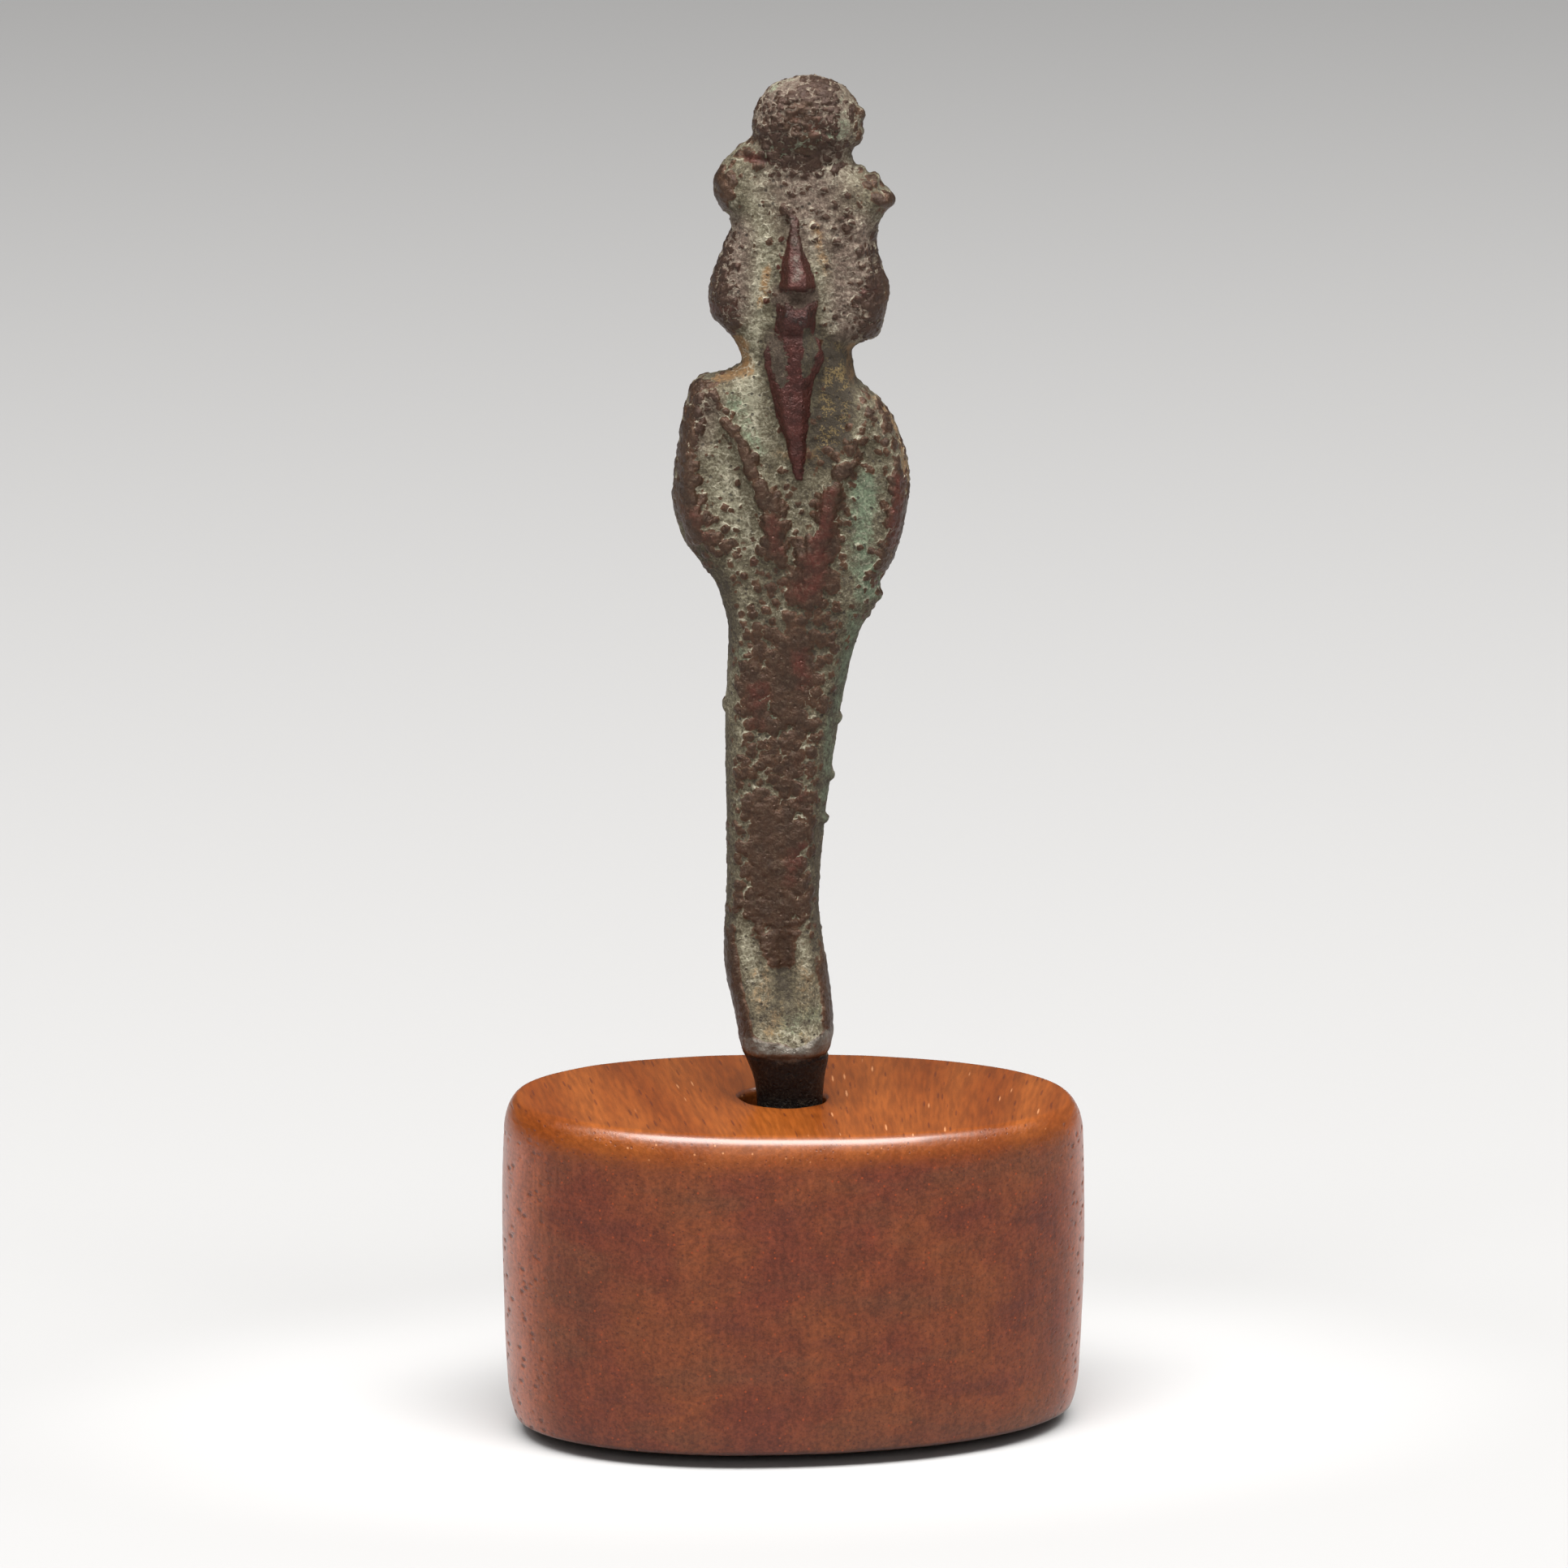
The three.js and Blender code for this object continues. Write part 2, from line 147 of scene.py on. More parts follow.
def surface_tree(name, sizes):
    """A tree that reworks a skin. It has a named input for each size, in mm."""
    tree = bpy.data.node_groups.new(name, "GeometryNodeTree")
    tree.interface.new_socket("Skin", in_out="INPUT", socket_type="NodeSocketGeometry")
    for size in sizes:
        tree.interface.new_socket(size, in_out="INPUT", socket_type="NodeSocketFloat")
    tree.interface.new_socket("Skin", in_out="OUTPUT", socket_type="NodeSocketGeometry")
    return tree


def raise_skin(tree, skin, rise, material):
    """Ends a surface tree: the skin moves outwards by the rise and gets its material."""
    outward = node(tree, "GeometryNodeInputNormal", {})
    shift = node(tree, "ShaderNodeVectorMath", {0: outward, "Scale": rise}, operation="SCALE")
    moved = node(tree, "GeometryNodeSetPosition", {"Geometry": skin, "Offset": shift})
    solid = node(tree, "GeometryNodeRealizeInstances", {"Geometry": moved})
    solid = node(tree, "GeometryNodeSetMaterial", {"Geometry": solid, "Material": material})
    node(tree, "NodeGroupOutput", {0: solid})


def reworked(obj, tree, sizes):
    """The object's mesh after the surface tree, with these sizes, has moved it."""
    surface = obj.modifiers.new(tree.name, "NODES")
    surface.node_group = tree
    for socket in tree.interface.items_tree:
        if socket.name in sizes:
            surface[socket.identifier] = sizes[socket.name]
    return with_modifiers(obj)


def store(mesh, name, values):
    """Keeps one value or one vector for each point of the mesh."""
    kind = "FLOAT" if values.ndim == 1 else "FLOAT_VECTOR"
    attribute = mesh.attributes.new(name, kind, "POINT")
    attribute.data.foreach_set("value" if kind == "FLOAT" else "vector", values.ravel())


def points_of(mesh):
    found = np.empty(len(mesh.vertices) * 3, np.float32)
    mesh.vertices.foreach_get("co", found)
    return found.reshape(-1, 3).astype(float)


def base_ring(inset, height):
    angle = np.linspace(0, 2 * math.pi, around_base, endpoint=False)
    c, s = np.cos(angle), np.sin(angle)
    power = 2 / base_squareness
    x = (base_width / 2 - inset) * np.sign(c) * np.abs(c) ** power
    y = (base_depth / 2 - inset) * np.sign(s) * np.abs(s) ** power
    return np.stack([x, y, height - top_fall * x / base_width * (height / base_height)], 1)


def belly_inset(height):
    middle = base_height * belly_share
    return base_belly * ((height - middle) / middle) ** 2


def socket_ring(radius, height, falls):
    angle = np.linspace(0, 2 * math.pi, around_base, endpoint=False)
    wander = 1 + 0.02 * np.sin(3 * angle + 0.6) + 0.012 * np.sin(7 * angle)
    x = socket_aside * math.cos(figure_turn) + radius * wander * np.cos(angle)
    y = socket_aside * math.sin(figure_turn) + radius * wander * np.sin(angle)
    return np.stack([x, y, height - falls * top_fall * x / base_width], 1)


foot_inset = foot_inward + belly_inset(0) + foot_gap
rings = [base_ring(foot_inset + inward, 0) for inward in worn_bottom]
for turn in np.linspace(0, math.pi / 2, 30):
    height = foot_up * (1 - math.cos(turn))
    under = foot_gap * max(1 - height / gap_height, 0) ** 1.2
    rings.append(base_ring(foot_inward * (1 - math.sin(turn)) + belly_inset(height) + under, height))
for height in np.linspace(foot_up, base_height - rim_up, 96)[1:-1]:
    rings.append(base_ring(belly_inset(height), height))
for turn in np.linspace(0, math.pi / 2, 24):
    height = base_height - rim_up + rim_up * math.sin(turn)
    rings.append(base_ring(rim_inward * (1 - math.cos(turn)) + belly_inset(height), height))
edge = rings[-1]
mouth = socket_ring(socket_radius + mouth_flare, base_height, 1)
for share in np.linspace(0, 1, 56)[1:]:
    ring = edge * (1 - share) + mouth * share
    from_socket = np.hypot(ring[:, 0] - mouth[:, 0].mean(), ring[:, 1] - mouth[:, 1].mean())
    near = (dish_radius - from_socket) / (dish_radius - socket_radius)
    ring[:, 2] -= dish_depth * smooth(near)
    rings.append(ring)
for sunk, inward in [(0.08, 0.12), (0.2, 0.22), (0.4, 0.3), (0.8, 0.35), (2, 0.35), (5, 0.35)]:
    rings.append(socket_ring(socket_radius + mouth_flare - inward, base_height - dish_depth - sunk, 1))
rings.append(socket_ring(socket_radius, base_height - tang_depth, 0))
rings.append(socket_ring(0.5, base_height - tang_depth, 0))
wooden_base = new_object("oval_base_of_waxed_hardwood", ring_skin(rings))


def wood_fibres(tree, place):
    """The places of a point across and along the fibres, which fan out a little to the right."""
    parts = node(tree, "ShaderNodeSeparateXYZ", {0: place}).node
    x, y, z = parts.outputs
    fan = node(tree, "ShaderNodeMapRange", {"Value": x, "From Min": -6, "From Max": 22, "To Max": 0.27})
    aside = node(tree, "ShaderNodeMath", {0: fan, 1: y}, operation="MULTIPLY")
    across = node(tree, "ShaderNodeMath", {0: x, 1: aside}, operation="SUBTRACT")
    along = node(tree, "ShaderNodeMath", {0: y, 1: fibre_stretch}, operation="MULTIPLY")
    return node(tree, "ShaderNodeCombineXYZ", {"X": across, "Y": along, "Z": z})


def open_pores(tree, fibres, spacing, width, share):
    """1 in the pores of the wood and 0 between them. Only a share of the places has a pore."""
    found = node(tree, "ShaderNodeTexVoronoi", {"Vector": fibres, "Scale": 1 / spacing}).node
    kept = node(tree, "ShaderNodeSeparateXYZ", {0: found.outputs["Color"]})
    kept = node(tree, "ShaderNodeMath", {0: kept, 1: share}, operation="LESS_THAN")
    reach = width / 2 / spacing
    pore = node(
        tree,
        "ShaderNodeMapRange",
        {"Value": found.outputs["Distance"], "From Min": reach, "From Max": reach * 0.5},
        interpolation_type="SMOOTHSTEP",
    )
    return node(tree, "ShaderNodeMath", {0: pore, 1: kept}, operation="MULTIPLY")


def end_pits(tree, place, at_ends, stained):
    """1 in the open pits, which show at the base's ends alone."""
    shaped = node(tree, "ShaderNodeVectorMath", {0: place, 1: pit_shape}, operation="MULTIPLY")
    pits = open_pores(tree, shaped, pit_spacing, pit_width, pit_share)
    pits = node(tree, "ShaderNodeMath", {0: pits, 1: at_ends}, operation="MULTIPLY")
    return node(tree, "ShaderNodeMath", {0: pits, 1: stained}, operation="MULTIPLY")


# Waxed hardwood, sanded and stained: a low satin shine, darker where the end grain drank the stain.
waxed_wood, tree = new_material("stained_and_waxed_hardwood")
place = node(tree, "ShaderNodeTexCoord", {}).node.outputs["Object"]
place = node(tree, "ShaderNodeVectorMath", {0: place, "Scale": 1000}, operation="SCALE")
fibres = wood_fibres(tree, place)
end_grain, stained, arris = [
    node(tree, "ShaderNodeAttribute", {}, attribute_name=name).node.outputs["Fac"]
    for name in ("end_grain", "stained", "arris")
]


def tinted(colour, tone, amount, how="MIX"):
    settings = {"data_type": "RGBA", "blend_type": how}
    return node(tree, "ShaderNodeMix", {"Factor": amount, "A": colour, "B": tone}, **settings)


sap = node(tree, "ShaderNodeTexNoise", {"Vector": fibres, "Scale": 0.2, "Detail": 4.0})
sap = node(tree, "ShaderNodeMapRange", {"Value": sap, "From Min": 0.36, "From Max": 0.64})
streak = node(tree, "ShaderNodeTexNoise", {"Vector": fibres, "Scale": 2.6, "Detail": 3.0})
streak_tone = node(
    tree,
    "ShaderNodeMapRange",
    {"Value": streak, "From Min": 0.35, "From Max": 0.65, "To Min": 0.78, "To Max": 1.12},
)
long_tone = tinted(linear("#77380e"), linear("#8b491a"), sap)
long_tone = tinted(long_tone, streak_tone, 1.0, "MULTIPLY")
cloud = node(tree, "ShaderNodeTexNoise", {"Vector": place, "Scale": 0.13, "Detail": 4.0})
reddish = node(tree, "ShaderNodeMapRange", {"Value": cloud, "From Min": 0.38, "From Max": 0.62})
drift = node(tree, "ShaderNodeVectorMath", {0: place, 1: (0.07, 0.07, 0.22)}, operation="MULTIPLY")
drift = node(tree, "ShaderNodeTexNoise", {"Vector": drift, "Scale": 1.0, "Detail": 4.0, "Roughness": 0.6})
clouds = []
for starts, full in [(0.5, 0.66), (0.46, 0.34)]:
    limits = {"From Min": starts, "From Max": full, "To Max": 0.55}
    clouds.append(node(tree, "ShaderNodeMapRange", {"Value": drift, **limits}))
olive, handled = clouds
end_tone = tinted(linear("#652e1c"), linear("#723a1e"), reddish)
end_tone = tinted(end_tone, linear("#5e3824"), olive)
end_tone = tinted(end_tone, linear("#54281e"), handled)
side_grain = node(tree, "ShaderNodeMath", {0: 1.0, 1: end_grain}, operation="SUBTRACT")
# The ends are lighter. Their side grain takes less stain, and the lighter tone is partly a painted
# highlight for the side light they catch.
end_tone = tinted(end_tone, linear("#964e30"), side_grain)
lines = node(tree, "ShaderNodeVectorMath", {0: place, 1: (1, 1, 0.1)}, operation="MULTIPLY")
lines = node(tree, "ShaderNodeTexNoise", {"Vector": lines, "Scale": 2.4, "Detail": 2.0})
speck = {"Vector": place, "Scale": 2.7, "Detail": 4.0, "Roughness": 0.75}
speck = node(tree, "ShaderNodeTexNoise", speck)
speck = node(tree, "ShaderNodeMath", {0: lines, 1: 0.18, 2: speck}, operation="MULTIPLY_ADD")
speck_tone = node(
    tree,
    "ShaderNodeMapRange",
    {"Value": speck, "From Min": 0.45, "From Max": 0.74, "To Min": 0.66, "To Max": 1.28},
)
end_tone = tinted(end_tone, speck_tone, 1.0, "MULTIPLY")
mottle = node(tree, "ShaderNodeVectorMath", {0: place, 1: (0.8, 0.8, 0.45)}, operation="MULTIPLY")
mottle = node(tree, "ShaderNodeTexNoise", {"Vector": mottle, "Scale": 1.0, "Detail": 3.0, "Roughness": 0.6})
mottle = node(
    tree,
    "ShaderNodeMapRange",
    {"Value": mottle, "From Min": 0.36, "From Max": 0.64, "To Min": 0.86, "To Max": 1.12},
)
end_tone = tinted(end_tone, mottle, 1.0, "MULTIPLY")
up = node(tree, "ShaderNodeSeparateXYZ", {0: place}).node.outputs["Z"]
# Painted shade: the wood up to 0.4 mm above the gap under the foot is darkened, to a fifth in the gap
# itself, for the shadow there.
painted_foot_shade = node(
    tree,
    "ShaderNodeMapRange",
    {"Value": up, "From Min": gap_height, "From Max": gap_height + 0.4, "To Min": 0.2},
)
end_tone = tinted(end_tone, painted_foot_shade, 1.0, "MULTIPLY")
sparks = open_pores(tree, place, spark_spacing, spark_width, spark_share)
end_tone = tinted(end_tone, linear("#8c3c1c"), sparks)
colour = tinted(long_tone, end_tone, stained)
pores = open_pores(tree, fibres, fibre_spacing, pore_width, pore_share)
pores = node(tree, "ShaderNodeMath", {0: pores, 1: 0.55}, operation="MULTIPLY")
colour = tinted(colour, linear("#4c2117"), pores)
dust = node(tree, "ShaderNodeVectorMath", {0: fibres, 1: (0.37, 0.11, 0.2)}, operation="ADD")
dust = open_pores(tree, dust, dust_spacing, pore_width, pore_share)
unstained = node(tree, "ShaderNodeMath", {0: 0.75, 1: stained}, operation="SUBTRACT", use_clamp=True)
dust = node(tree, "ShaderNodeMath", {0: dust, 1: unstained}, operation="MULTIPLY")
colour = tinted(colour, linear("#c98a5c"), dust)
open_ends = node(tree, "ShaderNodeMapRange", {"Value": side_grain, "From Min": 0.02, "From Max": 0.45})
pits = end_pits(tree, place, open_ends, stained)
darkened = node(tree, "ShaderNodeMath", {0: pits, 1: 0.85}, operation="MULTIPLY")
colour = tinted(colour, linear("#55291a"), darkened)
waxed = node(tree, "ShaderNodeMapRange", {"Value": streak, "To Min": 0.26, "To Max": 0.36})
waxed = node(tree, "ShaderNodeMath", {0: stained, 1: 0.1, 2: waxed}, operation="MULTIPLY_ADD")
polish = node(tree, "ShaderNodeMath", {0: side_grain, 1: 0.5}, operation="MULTIPLY")
polish = node(tree, "ShaderNodeMath", {0: polish, 1: stained}, operation="MULTIPLY")
polish = node(tree, "ShaderNodeMath", {0: polish, 1: arris}, operation="MAXIMUM")
grain = node(tree, "ShaderNodeMath", {0: streak, 1: pores}, operation="SUBTRACT")
grain = node(tree, "ShaderNodeMath", {0: pits, 1: -2.0, 2: grain}, operation="MULTIPLY_ADD")
fine = node(tree, "ShaderNodeMath", {0: speck, 1: end_grain}, operation="MULTIPLY")
grain = node(tree, "ShaderNodeMath", {0: fine, 1: 0.6, 2: grain}, operation="MULTIPLY_ADD")
filled = node(tree, "ShaderNodeMapRange", {"Value": arris, "To Min": 1.0, "To Max": 0.2})
grain = node(tree, "ShaderNodeMath", {0: grain, 1: filled}, operation="MULTIPLY")
bump = node(tree, "ShaderNodeBump", {"Height": grain, "Strength": 0.4, "Distance": 0.00012})
shader = node(
    tree,
    "ShaderNodeBsdfPrincipled",
    {
        "Base Color": colour,
        "Roughness": waxed,
        "Specular IOR Level": 0.3,
        "Coat Weight": polish,
        "Coat Roughness": 0.24,
        "Normal": bump,
    },
)
node(tree, "ShaderNodeOutputMaterial", {"Surface": shader})

# The hand work and the open grain of the ends, as real unevenness.
mesh = wooden_base.data
place_mm = points_of(mesh)
facing = np.empty(len(mesh.vertices) * 3, np.float32)
mesh.vertex_normals.foreach_get("vector", facing)
facing = facing.reshape(-1, 3)
lean = facing[:, 2]
store(mesh, "end_grain", smooth((np.abs(facing[:, 1]) - 0.3) / 0.45))
store(mesh, "stained", 1 - smooth((place_mm[:, 2] - base_height + 3.6) / 3.2))
rubbed = 1 - smooth((np.abs(place_mm[:, 0] + 1.5) - 10) / 9)
store(mesh, "arris", smooth((lean - 0.3) / 0.25) * smooth((0.97 - lean) / 0.15) * rubbed)
wood_sizes = {"Hand wave": hand_wave, "Pit depth": pit_depth}
grow_wood = surface_tree("worked_wood", wood_sizes)
given = node(grow_wood, "NodeGroupInput", {}).node.outputs
place = node(grow_wood, "GeometryNodeInputPosition", {})
end_here, stained_here = [
    node(grow_wood, "GeometryNodeInputNamedAttribute", {"Name": name}, data_type="FLOAT")
    for name in ("end_grain", "stained")
]
side_here = node(grow_wood, "ShaderNodeMath", {0: 1.0, 1: end_here}, operation="SUBTRACT")
wave = node(grow_wood, "ShaderNodeTexNoise", {"Vector": place, "Scale": 0.14, "Detail": 1.0})
wave = node(grow_wood, "ShaderNodeMath", {0: wave, 1: 0.5}, operation="SUBTRACT")
wave = node(grow_wood, "ShaderNodeMath", {0: wave, 1: given["Hand wave"]}, operation="MULTIPLY")
pits = end_pits(grow_wood, place, side_here, stained_here)
pits = node(grow_wood, "ShaderNodeMath", {0: pits, 1: given["Pit depth"]}, operation="MULTIPLY")
rise = node(grow_wood, "ShaderNodeMath", {0: wave, 1: pits}, operation="SUBTRACT")
raise_skin(grow_wood, given["Skin"], rise, waxed_wood)
mesh = reworked(wooden_base, grow_wood, wood_sizes)
mesh.transform(Matrix.Scale(0.001, 4))
mesh.shade_smooth()
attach(wooden_base, "root")
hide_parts("oval_wooden_base")


# The bronze figure. It is one solid cast of the crown, the head, the shrouded body with crook and
# flail, the feet and the tang, so worn and corroded that the carving is nearly gone: dark metal
# and round knobs of it stand out of a pale green and grey crust.
figure_height = 89.7
crown_ball_x, crown_ball_radius, above_notch = 1.12, 4.75, 0.85
# The outline, each side from the toes up: [height, how far to the right of the middle]
left_edge = [
    [0, -3.25], [1.6, -3.5], [4.4, -4.5], [7, -5], [12.7, -6.1], [20.3, -5.85], [33.3, -6],
    [41.3, -5.7], [44.8, -6.55], [50.1, -9.9], [53.1, -10.45], [58.5, -9.85], [62.4, -9],
    [63.5, -8], [64, -5.5], [64.8, -4.55], [66.6, -5.2], [67.5, -5.9], [68.8, -7.1],
    [70.7, -7.3], [74.7, -6.1], [77.1, -5.3], [78.7, -6.7], [80.1, -6.9], [81.6, -6.35],
    [83.2, -4.9], [84.1, -3.6],
]
right_edge = [
    [0, 2.5], [1.6, 2.65], [4, 3.05], [6.3, 3.4], [12.8, 2.7], [17.2, 2.2], [23.5, 2.6],
    [29.3, 3.3], [35.9, 4.35], [41, 5.6], [44.4, 7.35], [45.6, 7.5], [47.7, 8.6], [51.8, 9.65],
    [54.2, 9.95], [58.5, 9.1], [61.4, 7.45], [62.5, 6.2], [63.4, 5.3], [65.7, 5], [66.5, 6],
    [67.1, 7.3], [70.4, 7.95], [75.8, 7], [77.1, 7.5], [78.7, 8.25], [80.7, 7.2], [81.6, 5.4],
    [82.7, 4.95], [83.4, 5.3],
]
# [height, front, back, left round, right round]
depths = [
    [0, 2.2, 2.2, 2.4, 2.4], [3.9, 2.4, 2.2, 2.4, 2.4], [4.7, 4.9, 2.2, 2.4, 2.2],
    [8.3, 3.8, 2.3, 1.9, 1.6], [13.3, 2.7, 2.4, 1.4, 1.6], [20, 2.7, 2.5, 1.2, 2.2],
    [30.3, 2.7, 2.7, 1.3, 2.5], [46.3, 3.1, 3.1, 2.2, 2.2], [53.3, 3.2, 3.2, 2.2, 1.8],
    [60.3, 3, 3, 2, 2], [65, 2.8, 2.6, 1.8, 1.8], [70.3, 3.3, 2.9, 2.4, 1.8],
    [79.3, 3, 2.6, 2, 2], [82.6, 2.9, 2.5, 2.2, 2.2], [85, 3.6, 2.9, 3.4, 3.4],
    [89.7, 3.6, 2.9, 3.4, 3.4],
]
# The worn face, the mouth and the plaited beard: [height, left, right, how far it stands out]
wedge = [
    [0, -1.4, 0.6, 0], [20, -2.4, 0.2, 0], [45, -0.9, 1.5, 0], [54.2, 0.1, 0.9, 0],
    [55.4, -0.1, 0.9, 0.35], [57.5, -0.6, 1.1, 0.8], [60, -1.35, 1.35, 1.2],
    [63.3, -2.2, 1.8, 1.5], [65.8, -2.65, 2.7, 1.9], [67, -2.2, 2.35, 1.75],
    [67.8, -1.8, 1.95, 1.35], [68.5, -1.72, 1.95, 1.75], [69.4, -1.65, 2, 1.75],
    [70.5, -1.6, 2.1, 1.25], [71.5, -1.4, 2, 1.3], [71.9, -1.26, 1.94, 2.1],
    [73.2, -1.1, 1.62, 1.6], [75, -0.75, 0.85, 1.05], [77.2, -0.4, 0.5, 0.5],
    [78.4, -0.5, 0.6, 0], [81, -0.3, 1.6, 0], [85, 0.1, 2.1, 0],
]
wedge_flat = 0.45  # the share of its width that is flat
# Each stroke of the carving: [x, height, half its width, how far it stands out or sinks in]
ridges = {
    "left arm": [
        [-8.4, 61.8, 1.5, 0.3], [-9.1, 58, 1.7, 0.5], [-9.1, 54, 1.7, 0.6],
        [-8.4, 51, 1.9, 0.6], [-6.6, 48.8, 1.6, 0.3],
    ],
    "right arm": [
        [7.4, 61, 1.7, 0.4], [8.8, 56, 1.6, 0.5], [8.8, 52, 1.5, 0.5],
        [7.9, 48.6, 1.5, 0.5], [6.3, 45.5, 1.3, 0.2],
    ],
    "crook": [
        [-6.9, 62.6, 1.3, 0.4], [-4.8, 58.4, 1.2, 0.7], [-3.2, 55.2, 1.3, 0.8], [-1.9, 52.2, 1.8, 0.7],
        [-1.5, 48.8, 1.7, 0.4], [-0.6, 45.3, 1.7, 0.1],
    ],
    "flail": [
        [6.5, 61.4, 2, 0.4], [5, 58.6, 2, 0.6], [3.5, 54.6, 1.3, 0.7], [2.8, 51.9, 1.3, 0.7],
        [1.6, 48.3, 1.8, 0.6], [1.8, 44.5, 2, 0.3], [1.2, 41.5, 1.8, 0.1],
    ],
    "left foot": [[-2.4, 14.5, 1.3, 0.2], [-2.1, 10, 1.3, 0.4], [-1.9, 6.5, 1.2, 0.3]],
    "right foot": [[0.9, 14.5, 1, 0.2], [1.1, 10, 1.1, 0.4], [1.1, 6.5, 1.1, 0.3]],
}
hollows = {
    "beside the face, left": [
        [-2.6, 76.8, 1.6, 0.5], [-3, 71.3, 1.7, 0.9], [-3.3, 66.8, 1.5, 0.9], [-3.7, 63.3, 1.6, 0.8],
        [-2.5, 58.8, 1.7, 0.8], [-0.9, 55.6, 1.2, 0.4],
    ],
    "beside the face, right": [
        [2.7, 76.3, 1.5, 0.4], [3.7, 71.3, 1.7, 0.8], [3.8, 67.3, 1.5, 0.8], [4, 63.8, 1.5, 0.8],
        [3, 59.8, 1.7, 0.7], [1.5, 56.3, 1.2, 0.4],
    ],
    "left elbow": [[-6.7, 58.2, 1.5, 0.4], [-5.8, 54.8, 2.7, 1], [-4.6, 50.8, 2, 0.6]],
    "right elbow": [[6.6, 56, 1.4, 0.4], [6.1, 52, 2.5, 0.9], [5.4, 47.8, 2, 0.6]],
}
ridge_wall, hollow_wall, painted_wall = 0.85, 1.0, 1.0  # how much of a stroke's half is its slope
carving_fade = 1.1  # mm in from the outline, where the carving is whole
tang_taper = 0.8  # how wide the tang is at its foot, as a share
deepest_round = 5.5  # mm, further in than this the outline rounds nothing
notch_height = left_edge[-1][0]
ball_height = notch_height + above_notch
drawn_height = ball_height + crown_ball_radius
grow = figure_height / drawn_height
drawn_tang = tang_depth / grow


def curve_through(rows, column):
    """A smooth curve through rows that start with a height, with no overshoot between them."""
    h = np.array([row[0] for row in rows], float)
    v = np.array([row[column] for row in rows], float)
    secant = np.diff(v) / np.diff(h)
    before = np.concatenate([secant[:1], secant])
    after = np.concatenate([secant, secant[-1:]])
    both = before * after
    slope = np.where(both > 0, 2 * both / np.where(both > 0, before + after, 1), 0)

    def value_at(height):
        at = np.clip(height, h[0], h[-1])
        i = np.clip(np.searchsorted(h, at, "left") - 1, 0, len(h) - 2)
        span = h[i + 1] - h[i]
        t = (at - h[i]) / span
        start = (1 + 2 * t) * (1 - t) ** 2 * v[i] + t * (1 - t) ** 2 * span * slope[i]
        return start + t * t * (3 - 2 * t) * v[i + 1] + t * t * (t - 1) * span * slope[i + 1]

    return value_at


left_curve = curve_through(left_edge, 1)
right_curve = curve_through(right_edge, 1)
front_depth, back_depth = curve_through(depths, 1), curve_through(depths, 2)
left_round, right_round = curve_through(depths, 3), curve_through(depths, 4)
wedge_left, wedge_right, wedge_rise = (curve_through(wedge, column) for column in (1, 2, 3))


def outline_at(height):
    """The left and right of the outline at some heights."""
    reach = np.sqrt(np.clip(crown_ball_radius**2 - (height - ball_height) ** 2, 0, None))
    left = np.where(height > notch_height, crown_ball_x - reach, left_curve(height))
    right = np.where(height > right_edge[-1][0], crown_ball_x + reach, right_curve(height))
    share = 1 - (1 - tang_taper) * np.clip(-height / drawn_tang, 0, 1)
    middle = (left_edge[0][1] + right_edge[0][1]) / 2
    half = (right_edge[0][1] - left_edge[0][1]) / 2 * share
    in_tang = height < 0
    return np.where(in_tang, middle - half, left), np.where(in_tang, middle + half, right)


def to_line(x, z, ax, az, bx, bz):
    """How far points lie from a line between two others, and how far along it."""
    dx, dz = bx - ax, bz - az
    t = np.clip(((x - ax) * dx + (z - az) * dz) / (dx * dx + dz * dz + 1e-12), 0, 1)
    return t, np.hypot(x - ax - t * dx, z - az - t * dz)


outline_heights = np.arange(-drawn_tang - 6, drawn_height, 0.25)
outline_heights = np.append(outline_heights, drawn_height)
outline_sides = outline_at(outline_heights)


def to_outline(x, height):
    """How far points lie inside the outline."""
    nearest = np.full(x.shape, np.inf)
    for side in outline_sides:
        for i in range(len(outline_heights) - 1):
            low, high = outline_heights[i], outline_heights[i + 1]
            near = np.abs(height - (low + high) / 2) < deepest_round
            found = to_line(x[near], height[near], side[i], low, side[i + 1], high)[1]
            nearest[near] = np.minimum(nearest[near], found)
    return nearest


def stroke_at(points, wall, x, height):
    """How strong a stroke is at some points."""
    most = np.zeros(np.shape(x))
    for (ax, az, a_half, a_rise), (bx, bz, b_half, b_rise) in zip(points, points[1:]):
        t, distance = to_line(x, height, ax, az, bx, bz)
        half, rise = a_half + (b_half - a_half) * t, a_rise + (b_rise - a_rise) * t
        most = np.maximum(most, rise * smooth((1 - distance / half) / wall))
    return most


def strokes_at(strokes, wall, x, height):
    return np.max([stroke_at(points, wall, x, height) for points in strokes.values()], axis=0)


def wedge_at(x, height):
    left, right = wedge_left(height), wedge_right(height)
    across = np.abs(x - (left + right) / 2) / ((right - left) / 2)
    return wedge_rise(height) * np.clip((1 - across) / (1 - wedge_flat), 0, 1)


def carving_at(x, height):
    out = strokes_at(ridges, ridge_wall, x, height)
    sunk = strokes_at(hollows, hollow_wall, x, height)
    return np.maximum(wedge_at(x, height), out - sunk * smooth(1 - out / 0.5))


